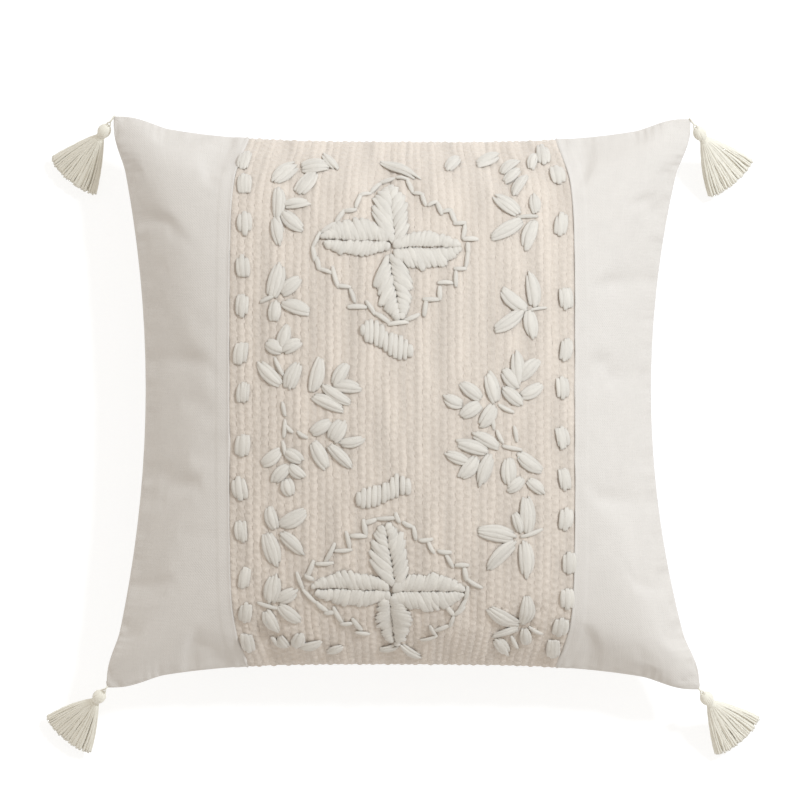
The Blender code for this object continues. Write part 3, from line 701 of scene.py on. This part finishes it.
LINEN = (0.608, 0.570, 0.530)
RIB = (0.622, 0.548, 0.477)
RIB_GROUND = (0.560, 0.490, 0.420)
BACKING = (0.600, 0.570, 0.525)
STITCH = (0.608, 0.570, 0.516)
TASSEL = (0.760, 0.722, 0.630)
TICKING_WHITE = (0.80, 0.80, 0.79)
FIBRE_WHITE = (0.85, 0.85, 0.85)
ZIP_CREAM = (0.72, 0.68, 0.60)
NICKEL = (0.66, 0.64, 0.60)

MATERIALS = {
    "side_linen": woven("side_linen", LINEN, 0.0011, 0.5, 0.09),
    "rib_ground": woven("rib_ground", RIB_GROUND, 0.0014, depth=0.0003),
    "rib_cloth": spun("rib_cloth", RIB, (9.0, 600.0), 0.13, 0.0005, 3.0),
    "backing_cloth": woven("backing_cloth", BACKING, 0.0011),
    "stitching": spun("stitching", STITCH, (7.0, 190.0), 0.11, 0.00045, 2.4),
    "tassel_yarn": spun("tassel_yarn", TASSEL, (3.0, 260.0), 0.10),
    "ticking": woven("ticking", TICKING_WHITE, 0.0007, 0.15),
    "fibre": woven("fibre", FIBRE_WHITE, 0.003, 1.0, depth=0.0012),
    "zip_tape": woven("zip_tape", ZIP_CREAM, 0.0008),
    "zip_coil": spun("zip_coil", ZIP_CREAM, depth=0.00003),
    "zip_metal": metal("zip_metal", NICKEL),
}


# ======== cover panels
HALF_SIZE, MIDDLE_HALF = 0.22, 0.20       # the pillow's, and across its narrow middle
SIDE_CELLS, CENTRE_CELLS = (130, 300), (150, 240)
BACK_CELLS, STRIP_ROWS = 210, 14
LIP_FADE, STRIP_BULGE = 0.10, 0.0006
PUCKER_LIFT, PUCKER_REACH = 0.00045, 0.007


def seam_puckers(u, v):
    """Small gathers that the stitching pulls into the cloth along the edge seam."""
    s = np.where(np.abs(u) > np.abs(v), v, u)
    edge = np.minimum(1 - np.abs(u), 1 - np.abs(v)) * HALF_SIZE
    waves = np.sin(s * 173 + 2.1 * np.sin(s * 37)) * (0.6 + 0.4 * np.sin(s * 23 + 1.0))
    return PUCKER_LIFT * waves * np.exp(-edge / PUCKER_REACH) * ease(edge / 0.0012)


def panel(name, surface, bounds, cells, relief, slot, node_name, look=None):
    """A front panel between two seams, its cloth lifted by relief(u, v, x distance to seams)."""
    part, v = np.meshgrid(np.linspace(0, 1, cells[0] + 1),
                          arc(np.linspace(-1, 1, cells[1] + 1)), indexing="ij")
    low, high = (np.arcsin(np.clip(bound(v), -1, 1)) for bound in bounds)
    u = np.sin(mix(low, high, part))
    places, normals = surface.read(u, v)
    outer = places + normals * relief(u, v, places)[..., None]
    sheet = thick_sheet(name, outer, normals, CLOTH)
    return finish_piece(sheet, "pillow", slot, node_name, look=look)


def seam_distance(side, v, places):
    """How far a point lies outside the seam at that side of the centre panel."""
    seam_x = side * (PANEL_HALF - PANEL_NARROWING * np.abs(v) ** PANEL_POWER)
    return side * (places[..., 0] - seam_x)


def plan_step(distance):
    """A distance across the pillow's middle as a step of u."""
    return distance / MIDDLE_HALF


ROLL_LIFT, ROLL_WIDTH = 0.0011, 0.0012
ALLOWANCE_LIFT, ALLOWANCE_WIDTH = 0.0004, 0.0125
SEAM_DEPTH = 0.0004


def make_side_panels(front):
    """Each side panel, its edge turned under at the seam with an allowance behind it."""
    def relief(side):
        def lift(u, v, places):
            off = np.maximum(0, seam_distance(side, v, places))
            allowance = ALLOWANCE_LIFT * ease((ALLOWANCE_WIDTH - off) / 0.0022)
            roll = (ROLL_LIFT - ALLOWANCE_LIFT) * ease((0.0034 - off) / 0.0018)
            turned = (ROLL_LIFT + SEAM_DEPTH) * (1 - ease(off / ROLL_WIDTH))
            wave = 0.00022 * np.sin(places[..., 1] * 190) * np.exp(-off / 0.012)
            return allowance + roll - turned + wave + seam_puckers(u, v)
        return lift

    gap = plan_step(GAP / 2)
    ends = {
        "left": (-1, lambda v: np.full_like(v, -1.0), lambda v: centre_seam(-1, v) - gap),
        "right": (1, lambda v: centre_seam(1, v) + gap, lambda v: np.full_like(v, 1.0)),
    }
    for name, (side, low, high) in ends.items():
        made = panel(f"cover_side_panel_{name}", front, (low, high), SIDE_CELLS, relief(side),
                     "side_linen", f"front_panel_{name}")


RIB_PITCH, BEAD_PITCH = 0.00595, 0.0065
RIB_GROUPS = 4                        # pieces that the ribs are shared out among
RIB_END, RIB_RINGS = 0.992, 660
RIB_UNDER = 0.0008                    # how far the outer ribs go under the side panels
RIBS_PER_DRIFT = 4                    # neighbours that wander together
RIB_TALL, RIB_CAUGHT, ROW_DIP, RIB_LEAST = 0.00118, 0.00112, 0.00026, 0.00005
RIB_UNEVEN, RIB_DRIFT, RIB_SWAY = 0.00020, 0.00042, 0.00036
RIB_SPREAD, RIB_PINCH = 0.66, 0.13    # half widths, as parts of the pitch
RIB_TOP = np.linspace(1, -1, 9)       # across a rib's rounded top
RIB_SECTION = (np.append(RIB_TOP, [-1, 1]), np.append((1 + np.cos(np.pi * RIB_TOP)) / 2 - 0.3,
                                                      [-0.9, -0.9]))
TUCK_UNDER = 0.0030


def make_centre_panel(front):
    """The centre panel's ground cloth, tucked under the side panels at its seams."""
    def relief(u, v, places):
        inside = np.minimum(-seam_distance(-1, v, places), -seam_distance(1, v, places))
        return -0.0019 + 0.0014 * ease((inside + 0.0010) / 0.0014) + seam_puckers(u, v)

    step = plan_step(TUCK_UNDER)
    bounds = (lambda v: centre_seam(-1, v) - step, lambda v: centre_seam(1, v) + step)
    made = panel("cover_centre_panel", front, bounds, CENTRE_CELLS, relief, "rib_cloth",
                 "front_panel_centre", look="rib_ground")


def wander(rng, travelled, step):
    """A random value that changes smoothly along a yarn, from -1 to 1."""
    knots = np.arange(0, travelled[-1] + 2 * step, step)
    return np.interp(travelled, knots, rng.uniform(-1, 1, len(knots)))


def make_ribs(front):
    """Rows of heavy yarn up the centre panel, caught down in turn with their neighbours."""
    rng = np.random.RandomState(11)
    count = round((2 * PANEL_HALF - 0.0010) / RIB_PITCH)
    groups = [Yarns() for _ in range(RIB_GROUPS)]
    v = arc(np.linspace(-RIB_END, RIB_END, RIB_RINGS))
    under = plan_step(RIB_UNDER)
    low, high = centre_seam(-1, v) - under, centre_seam(1, v) + under
    for k in range(count):
        part = (k + 0.5) / count
        places, normals = front.read(mix(low, high, part), v)
        side = unit(np.cross(normals, np.gradient(places, axis=0)))
        travelled = distance_along(places)
        if k % RIBS_PER_DRIFT == 0:
            drift = wander(rng, travelled, 0.011)
        shift = RIB_DRIFT * drift + RIB_SWAY * wander(rng, travelled, 0.005)
        phase = travelled / BEAD_PITCH + 0.5 * (k % 2) + 0.10 * wander(rng, travelled, 0.010)
        bead = np.abs(np.sin(np.pi * phase)) ** 1.3
        caught = (0.80 + 0.20 * wander(rng, travelled, 0.005)) * (1 - bead)
        path = places + side * shift[:, None]
        rows = np.sin(2 * np.pi * travelled / BEAD_PITCH) ** 2
        tall = RIB_TALL + RIB_UNEVEN * wander(rng, travelled, 0.004) - RIB_CAUGHT * caught
        tall = np.maximum(tall - ROW_DIP * rows, RIB_LEAST)
        wide = RIB_PITCH * (RIB_SPREAD - RIB_PINCH * caught)
        groups[k * RIB_GROUPS // count].add(path, normals, wide, tall, len(RIB_SECTION[0]),
                                            RIB_SECTION)
    for index, yarns in enumerate(groups):
        finish_yarns(yarns, f"cover_centre_ribs_{index + 1}", "pillow", "rib_cloth",
                     "front_panel_centre")


def slit_axes():
    """The directions up the cloth and out of it at the slit."""
    outward = np.array([0, -math.sin(SLIT_TILT), math.cos(SLIT_TILT)])
    upward = np.array([0, math.cos(SLIT_TILT), math.sin(SLIT_TILT)])
    return upward, outward


def slit_lip(surface, u, side):
    """The slit's lip above (+1) or below (-1) the zip, as in CAD."""
    closed, normals = surface.read(u, np.full_like(u, math.sin(SLIT_ANGLE)))
    straight = np.stack([closed[:, 0], np.full_like(u, SLIT_Y), np.full_like(u, SLIT_Z)], -1)
    opening = ease((SLIT_HALF_LENGTH + SLIT_BLEND - np.abs(closed[:, 0])) / SLIT_BLEND)[:, None]
    upward, _ = slit_axes()
    apart = GAP / 2 + (SLIT_HALF_OPENING - GAP / 2) * opening
    return mix(closed, straight, opening) + upward * side * apart, normals


def make_back(back):
    """The back panel, and the strip of it between the zip and the bottom seam."""
    slit = SLIT_ANGLE / (math.pi / 2)
    u = arc(np.linspace(-1, 1, BACK_CELLS + 1))
    b = np.linspace(0, 1, BACK_CELLS + 1)
    grid_u, grid_v = np.meshgrid(u, arc(mix(slit, 1.0, b)), indexing="ij")
    places, normals = back.read(grid_u, grid_v)
    lip, _ = slit_lip(back, u, -1)
    fade = 1 - ease(b / LIP_FADE)
    outer = places + (lip - places[:, 0])[:, None] * fade[None, :, None]
    outer = outer + normals * seam_puckers(grid_u, grid_v)[..., None]
    sheet = thick_sheet("cover_back_panel", outer, normals, CLOTH)
    finish_piece(sheet, "pillow", "backing_cloth", "back_panel")

    upper, normal_low = slit_lip(back, u, 1)
    seam, normal_high = back.read(u, np.full_like(u, -1.0))
    b = np.linspace(0, 1, STRIP_ROWS + 1)[None, :, None]
    outer = mix(upper[:, None], seam[:, None], b)
    normals = unit(mix(normal_low[:, None], normal_high[:, None], b))
    outer = outer + normals * STRIP_BULGE * np.sin(np.pi * b)
    strip = thick_sheet("cover_zip_strip", outer, normals, CLOTH)
    finish_piece(strip, "pillow", "backing_cloth", "back_zip_strip")


# ======== embroidery
def stitch(yarns, front, plan, wide, high, lift):
    """A strand over the front cloth along points in plan, in millimetres."""
    u, v = plan_to_uv(plan[:, 0] * MM, plan[:, 1] * MM)
    places, normals = front.read(u, v)
    path = places + normals * (lift * MM)[:, None]
    yarns.add(path, normals, wide * MM, high * MM)


def finish_stitches(yarns, name, node_name):
    finish_yarns(yarns, f"stitched_{name}", "pillow", "stitching", node_name)


def frame_of(start, end):
    """A stitch's start, its length, and its directions along and across."""
    start, end = np.array(start, float), np.array(end, float)
    length = np.linalg.norm(end - start)
    along = (end - start) / length
    return start, length, along, np.array([-along[1], along[0]])


STEM_WIDTH = 5                 # stitches up to this wide are stems, the others leaves
LEAF_HIGH, LEAF_RISE = 1.10, 2.5
STRAND_STEP = 2.5              # between the satin strands of a petal


def leaf(yarns, front, base, tip, width, rng):
    """Strands laid side by side from base to tip, the middle ones over the outer ones."""
    start, length, along, across = frame_of(base, tip)
    strands = 4 if width >= 12 else 3
    share = 1.60 / strands
    t = np.linspace(0, 1, 18)
    bow = rng.uniform(-0.05, 0.05) * length * np.sin(np.pi * t)
    slant = rng.uniform(-0.12, 0.12) * width
    order = sorted(range(strands), key=lambda k: -abs(k - (strands - 1) / 2))
    for k in order:
        offset = 2 * k / (strands - 1) - 1
        near = rng.uniform(-0.05, 0.06) + 0.03 * abs(offset)
        far = 1.02 - rng.uniform(0.0, 0.15) - 0.05 * abs(offset)
        s = mix(near, far, t)
        outline = width / 2 * np.sin(np.pi * np.clip(0.14 + 0.80 * s, 0, 1)) ** 0.55
        astray = rng.uniform(-0.06, 0.06) * width * (s - 0.4)
        side = offset * outline * (1 - share) + bow + slant * (s - 0.5) + astray
        plan = start + along * (s * length)[:, None] + across * side[:, None]
        body = np.sin(np.pi * np.clip(0.05 + 0.91 * t, 0, 1))
        wide = outline * share * body ** 0.25 * rng.uniform(0.95, 1.08)
        high = LEAF_HIGH * body ** 0.4
        rise = LEAF_RISE * body ** 0.5 * (1.1 - 0.30 * offset * offset) - 0.15
        stitch(yarns, front, plan, wide, high, rise)


def single(yarns, front, start, end, half, rng, lift, flatness=0.75):
    """One loose straight stitch of heavy yarn, going in and out of the cloth at its ends."""
    start, length, along, across = frame_of(start, end)
    t = np.linspace(0, 1, 14)
    body = np.sin(np.pi * np.clip(0.05 + 0.90 * t, 0, 1))
    sway = rng.uniform(-0.5, 0.5) * np.sin(np.pi * t)
    plan = start + along * (length * t)[:, None] + across * sway[:, None]
    stitch(yarns, front, plan, half * body ** 0.35, half * flatness * body ** 0.4,
           lift * body ** 0.5 + 0.05)


def make_dashes(front):
    """Short blocks of two or three fat strands beside each seam."""
    for side, dashes in DASHES.items():
        yarns, rng = Yarns(), random.Random(f"dashes {side}")
        for x, y in dashes:
            lean = rng.uniform(-1.4, 1.4)
            count = rng.choice((3, 3, 4))
            width = rng.uniform(10.0, 12.0)
            for k in range(count):
                offset = 2 * k / (count - 1) - 1
                half = width / count * rng.uniform(0.70, 0.88)
                reach = rng.uniform(16.0, 18.5) / 2 - 1.6 * abs(offset)
                shift = rng.uniform(-0.7, 0.7)
                place = x + offset * width * 0.27
                low = (place - lean, y - reach + shift)
                high = (place + lean, y + reach + shift)
                single(yarns, front, low, high, half, rng, 2.5 - 0.5 * abs(offset), 0.38)
        finish_stitches(yarns, f"dashes_{side}", f"dashes_{side}")


def make_sprigs(front):
    for place, leaves in SPRIGS.items():
        yarns, rng = Yarns(), random.Random(place)
        for x0, y0, x1, y1, width in leaves:
            if width <= STEM_WIDTH:
                single(yarns, front, (x0, y0), (x1, y1), width * 0.44, rng, 1.2)
            else:
                leaf(yarns, front, (x0, y0), (x1, y1), width, rng)
        finish_stitches(yarns, f"sprig_{place}", f"sprig_{place}")


def petal(yarns, front, root, tip, halves, lean, rng):
    """Two rows of slanting satin strands, one each side of the petal's middle line."""
    start, length, along, across = frame_of(root, tip)
    slope = math.hypot(1, lean)
    count = round(length / (STRAND_STEP * slope) * 1.05)

    def half_width(half, part):
        return half * math.sin(math.pi * min(1.0, 0.07 + 0.93 * max(part, 0))) ** 0.55

    for side, half in ((1, halves[0]), (-1, halves[1])):
        for k in range(-1, count):
            base = length * (k + 0.6 + rng.uniform(-0.1, 0.1)) / count
            reach = half
            for _ in range(8):
                reach = (reach + half_width(half, (base + reach * lean) / length)) / 2
            reach *= rng.uniform(0.86, 1.10)
            slant = lean * rng.uniform(0.85, 1.15)
            inner = start + along * max(base, 0) + across * side * rng.uniform(-0.4, 1.2)
            outer = start + along * (base + reach * slant) + across * side * reach
            if np.linalg.norm(outer - inner) > 3.5:
                single(yarns, front, inner, outer, 2.9 * rng.uniform(0.85, 1.12), rng, 2.5, 0.34)


def make_medallions(front):
    for place, medallion in MEDALLIONS.items():
        rng = random.Random(f"medallion {place}")
        for name, (*ends, left, right, lean) in medallion["petals"].items():
            yarns = Yarns()
            petal(yarns, front, ends[:2], ends[2:], (left, right), lean, rng)
            finish_stitches(yarns, f"petal_{place}_{name}", f"medallion_{place}_petal_{name}")
        for name, half, lift in (("outline", 1.9, 1.5), ("bars", 2.5, 2.0)):
            yarns = Yarns()
            for x0, y0, x1, y1 in medallion[name]:
                thick = half * rng.uniform(0.88, 1.12)
                single(yarns, front, (x0, y0), (x1, y1), thick, rng, lift, 0.6)
            for *ends, width in medallion["leaves"] if name == "outline" else ():
                leaf(yarns, front, ends[:2], ends[2:], width, rng)
            finish_stitches(yarns, f"{name}_{place}", f"medallion_{place}_{name}")


# ======== tassels
def tassel_axes(corner):
    """The pivot, and the across, up and along directions of a tassel, as in CAD."""
    side, end = corner
    outward = np.array([side * math.cos(TASSEL_PLAN_ANGLE), -math.sin(TASSEL_PLAN_ANGLE), 0])
    x, y = CORNERS[corner]
    if end > 0:
        place = np.array([x + side * TOP_PIVOT_OUT, y - TOP_PIVOT_BELOW, 0])
    else:
        place = np.array([x, y, 0]) + outward * BOTTOM_PIVOT_OUT
    place[2] = SEAM_HEIGHT - CORNER_DROOP
    along = outward * math.cos(TASSEL_SLOPE) - np.array([0, 0, math.sin(TASSEL_SLOPE)])
    across = np.cross([0, 0, 1], outward)
    return place, across, np.cross(along, across), along


def make_tassel(name, corner):
    place, across, up, along = tassel_axes(corner)
    axes = np.stack([across, up, along])

    def world(local):
        return place + np.asarray(local) @ axes

    def outward_of(local):
        flat = np.array(local, float)
        flat[:, 2] = 0
        return unit(flat) @ axes

    rng = random.Random(name)
    make_tassel_loop(name, world, up)
    make_tassel_head(name, world, outward_of, rng)
    make_tassel_neck(name, world, outward_of)
    make_tassel_skirt(name, world, outward_of, rng)


def make_tassel_tie(name, corner, front):
    """The thread that ties the loop to the cover's corner."""
    place, across, up, along = tassel_axes(corner)
    side, end = corner
    up_at = 0.9985 if end > 0 else 0.9995
    root, _ = front.read(np.array([side * 0.9995]), np.array([end * up_at]))
    reach = place + along * LOOP_RADIUS * 2.2 - root[0]
    turned = np.linspace(0, 2 * np.pi, 41)
    out = (1 - np.cos(turned)) / 2
    yarns = Yarns()
    for ply in (0, np.pi):
        spin = turned * 6 + ply
        path = root[0] + reach * out[:, None] - along * 0.0012
        path = path + up * (0.0010 * np.sin(turned) + TIE_PLY * np.cos(spin))[:, None]
        path = path + across * (TIE_PLY * np.sin(spin))[:, None]
        yarns.add(path, np.broadcast_to(across, path.shape), TIE_YARN, TIE_YARN, 8)
    finish_yarns(yarns, f"{name}_tie", "pillow", "tassel_yarn")


def make_tassel_loop(name, world, up):
    yarns = Yarns()
    turned = np.linspace(0, 2 * np.pi, 33)
    reach = LOOP_RADIUS + (LOOP_REACH / 2 - LOOP_RADIUS) * (1 - np.cos(turned))
    for ply in (0, np.pi):
        spin = turned * 7 + ply
        sway, rise = LOOP_PLY * np.cos(spin), LOOP_PLY * np.sin(spin)
        local = np.stack([(LOOP_WIDTH / 2 + sway) * np.sin(turned), rise, reach + sway * 0.4], -1)
        yarns.add(world(local), np.broadcast_to(up, local.shape), LOOP_YARN, LOOP_YARN, 8)
    finish_yarns(yarns, f"{name}_twisted_loop", name, "tassel_yarn", f"{name}_loop")


def make_tassel_head(name, world, outward_of, rng):
    """Yarns folded over the top, running down a ball to the neck."""
    yarns = Yarns()
    t = np.linspace(0.012, 1.14, 22)           # on under the neck binding
    for k in range(HEAD_STRANDS):
        turn = 2 * np.pi * k / HEAD_STRANDS + 0.35 * (t - 0.5) + rng.uniform(-0.05, 0.05)
        radius = (HEAD_WIDTH / 2 - 0.0002) * np.sin(np.pi * np.minimum(t * 0.93, 0.88)) ** 0.50
        local = np.stack([radius * np.cos(turn), radius * np.sin(turn),
                          HEAD_START + 0.0005 + (HEAD_LENGTH - 0.001) * t], -1)
        yarns.add(world(local), outward_of(local), *HEAD_YARN, 8)
    finish_yarns(yarns, f"{name}_folded_head", name, "tassel_yarn", f"{name}_head")


def make_tassel_neck(name, world, outward_of):
    """Thread wound round the neck."""
    yarns = Yarns()
    t = np.linspace(0, 1, NECK_TURNS * 24)
    turn = 2 * np.pi * NECK_TURNS * t
    radius = NECK_RADIUS - NECK_YARN
    local = np.stack([radius * np.cos(turn), radius * np.sin(turn),
                      NECK_START + NECK_YARN + (NECK_LENGTH - 2 * NECK_YARN) * t], -1)
    yarns.add(world(local), outward_of(local), NECK_YARN, NECK_YARN, 8)
    finish_yarns(yarns, f"{name}_wound_neck", name, "tassel_yarn", f"{name}_neck_binding")


def make_tassel_skirt(name, world, outward_of, rng):
    """Cut yarns, spread into a flat fan; they part into a few locks."""
    yarns = Yarns()
    t = np.linspace(0, 1, 20)
    for k in range(SKIRT_STRANDS):
        angle = 2 * math.pi * GOLDEN_TURN * k
        ring = math.sqrt((k + 0.5) / SKIRT_STRANDS)
        x_end, y_end = ring * math.cos(angle), ring * math.sin(angle)
        lock = (math.floor((x_end + 1) / 2 * SKIRT_LOCKS) + 0.5) / SKIRT_LOCKS * 2 - 1
        x_end = mix(x_end, lock, 0.15)
        reach = SKIRT_END + rng.uniform(-0.0012, 0.0) - 0.0022 * x_end * x_end
        spread = t ** 0.86 * (1.04 + 0.05 * np.sin(np.pi * t))
        sway = rng.uniform(-0.0006, 0.0006) * np.sin(np.pi * t * rng.uniform(1.0, 2.2))
        half_x = mix(SKIRT_TOP_RADIUS * 0.8, SKIRT_END_WIDTH / 2 - SKIRT_ROOM, spread)
        half_y = mix(SKIRT_TOP_RADIUS * 0.8, SKIRT_END_THICKNESS / 2 - SKIRT_ROOM, spread)
        local = np.stack([x_end * half_x + sway, y_end * half_y + sway * 0.4,
                          mix(SKIRT_START - 0.0016, reach, t)], -1)
        thick = SKIRT_YARN * (0.80 + 0.25 * t) * rng.uniform(0.85, 1.12)
        yarns.add(world(local), outward_of(local + [0, 1e-6, 0]), thick, thick, 8,
                  lobes=0.10, twist=900)
    finish_yarns(yarns, f"{name}_cut_skirt", name, "tassel_yarn", f"{name}_skirt")


# ======== zip
def zip_directions(local):
    """Directions in the slit's frame (along, up the cloth, outward), turned to the world's."""
    return local @ np.stack([np.array([1.0, 0, 0]), *slit_axes()])


def zip_frame(local):
    """Points in the slit's frame as places."""
    return np.array([0, SLIT_Y, SLIT_Z]) + zip_directions(local)


def make_zip():
    turns = int((CHAIN_END - CHAIN_START) / COIL_PITCH)
    turn = np.linspace(0, 2 * np.pi * turns, turns * 12)
    along = mix(CHAIN_START + WIRE, CHAIN_END - WIRE, turn / turn[-1])
    for side, name in ((1, "upper"), (-1, "lower")):
        yarns = Yarns()
        local = np.stack([along, side * COIL_OFFSET + (COIL_RADIUS - WIRE) * np.cos(turn),
                          -COIL_DEPTH + (COIL_RADIUS - WIRE) * np.sin(turn)], -1)
        away = np.stack([np.zeros_like(turn), np.cos(turn), np.sin(turn)], -1)
        yarns.add(zip_frame(local), zip_directions(away), WIRE, WIRE, 6)
        finish_yarns(yarns, f"zip_helix_{name}", "pillow", "zip_coil", f"zip_coil_{name}")
        make_zip_tape(name, side)


def make_zip_tape(name, side):
    """Woven tape with a raised cord along the coil and a selvedge along its outer edge."""
    edge = COIL_OFFSET + COIL_RADIUS + GAP
    a, b = np.linspace(CHAIN_START, CHAIN_END, 181), np.linspace(0, 1, 13)
    x, part = np.meshgrid(a, b, indexing="ij")
    ripple = 0.00008 * np.sin(x * 160 + side)
    ridge = 0.00010 * (np.exp(-(part / 0.10) ** 2) + np.exp(-((1 - part) / 0.08) ** 2))
    out = -COIL_DEPTH + TAPE_THICKNESS / 2 + ripple * part + ridge
    local = np.stack([x, side * (edge + TAPE_WIDTH * part), out], -1)
    outer = zip_frame(local)
    _, outward = slit_axes()
    normals = np.broadcast_to(outward, outer.shape)
    tape = thick_sheet(f"zip_woven_tape_{name}", outer, normals, TAPE_THICKNESS)
    finish_piece(tape, "pillow", "zip_tape", f"zip_tape_{name}")


# ======== insert
INSERT_MARGIN, INSERT_CLEARANCE, TICKING = 0.016, 0.0040, 0.0012
INSERT_CELLS = 60
PUFF, LUMPS = 0.0006, 0.0012
FIBRE_DEPTH = 0.0024                  # from the clearance to the fibre


def insert_point(form, u, v, margin, inside):
    """A point of the insert, drawn in from the cover's own form."""
    left, right, bottom, top = edges_at(u, v)
    x = mix(left + margin, right - margin, (u + 1) / 2)
    y = mix(bottom + margin, top - margin, (v + 1) / 2)
    z = form(u, v)[..., 2] + inside * fullness(u, v)
    return np.stack([x, y, z], -1)


def make_insert():
    u, v = square_grid(INSERT_CELLS)
    for name, form, side in (("front", front_form, -1), ("back", back_form, 1)):
        inside = side * (INSERT_CLEARANCE + 0.0005)
        puff = PUFF * np.sin(u * 21 + 1.3 * v) * np.sin(v * 19) * fullness(u, v)
        outer = insert_point(form, u, v, INSERT_MARGIN, inside)
        outer[..., 2] += puff
        ticking = thick_sheet(f"insert_ticking_{name}_cloth", outer, normals_of(outer, -side),
                              TICKING * 0.6)
        finish_piece(ticking, "pillow", "ticking", f"insert_ticking_{name}")
    make_filling(u, v)


def make_filling(u, v):
    """The fibre: a lumpy closed pad inside the ticking."""
    inside = INSERT_CLEARANCE + FIBRE_DEPTH
    lumps = LUMPS * np.sin(u * 13 + 2 * np.sin(v * 5)) * np.sin(v * 11 + u * 3) * fullness(u, v)
    top = insert_point(front_form, u, v, INSERT_MARGIN + TICKING, -inside)
    low = insert_point(back_form, u, v, INSERT_MARGIN + TICKING, inside)
    top[..., 2] -= np.abs(lumps)
    points, faces, _, _ = closed_pad(top, low)
    uv = points[:, :2]
    filling = build_mesh("insert_filling", points, [faces], [uv[faces]])
    finish_piece(filling, "pillow", "fibre", "insert_fibre_filling")


# ======== stage
CAMERA_PLACE, CAMERA_LENS = (-0.0016, 0.0023, 2.5), 141.6
FLOOR_GREY, FLOOR_GLOW, FLOOR_HALF, FLOOR_DROP = 0.38, 0.70, 4.0, 0.0006
SKY_SIDE = (0.10, 0.80, 0.59)         # the studio is brightest above the pillow's head
SKY_DARK, SKY_LIGHT = (0.56, 0.532, 0.493), (0.87, 0.838, 0.792)


def make_stage():
    floor_mesh = bpy.data.meshes.new("floor")
    bm = bmesh.new()
    bmesh.ops.create_grid(bm, x_segments=8, y_segments=8, size=FLOOR_HALF)
    bm.to_mesh(floor_mesh)
    bm.free()
    floor_mesh.materials.append(plain_stage("pale_floor", (FLOOR_GREY,) * 3))
    floor = place_object("floor", floor_mesh)
    floor.location.z = -FLOOR_DROP

    world = bpy.data.worlds.new("studio")
    bpy.context.scene.world = world
    world.use_nodes = True
    tree = world.node_tree
    direction = node(tree, "ShaderNodeTexCoord").outputs["Generated"]
    facing = node(tree, "ShaderNodeVectorMath", {"operation": "DOT_PRODUCT"}, i0=direction,
                  i1=SKY_SIDE).outputs["Value"]
    part = maths(tree, "ADD", maths(tree, "MULTIPLY", facing, 0.5), 0.5)
    tree.links.new(blend(tree, part, SKY_DARK, SKY_LIGHT),
                   tree.nodes["Background"].inputs["Color"])
    add_light("key", (1.45, 1.18, 2.30), 0.4, 52.5, (0.84, 0.94, 1.04))

    camera_data = bpy.data.cameras.new("camera")
    camera_data.lens = CAMERA_LENS
    camera = place_object("camera", camera_data)
    camera.location = CAMERA_PLACE
    bpy.context.scene.camera = camera
    bpy.context.scene.view_settings.view_transform = "Standard"


def add_light(name, place, size, watts, colour):
    data = bpy.data.lights.new(name, "AREA")
    data.color = colour
    data.shape = "DISK"
    data.size = size
    data.energy = watts
    light = place_object(name, data)
    light.location = place
    light.rotation_euler = (-Vector(place)).to_track_quat("-Z", "Y").to_euler()


def main():
    make_stage()
    shifts = simulate_cover()
    front = Surface(front_form, shifts[0], 1)
    back = Surface(back_form, shifts[1], -1)
    make_insert()
    make_side_panels(front)
    make_centre_panel(front)
    make_ribs(front)
    make_back(back)
    make_dashes(front)
    make_sprigs(front)
    make_medallions(front)
    make_zip()
    for name, corner in TASSELS.items():
        make_tassel(name, corner)
        make_tassel_tie(name, corner, front)
    for name in ("zip_slider", "zip_pull_tab", "zip_bottom_stop", "zip_top_stop"):
        metal_node = frame["nodes"][name]
        metal_node.data.materials.clear()
        metal_node.data.materials.append(MATERIALS["zip_metal"])


main()
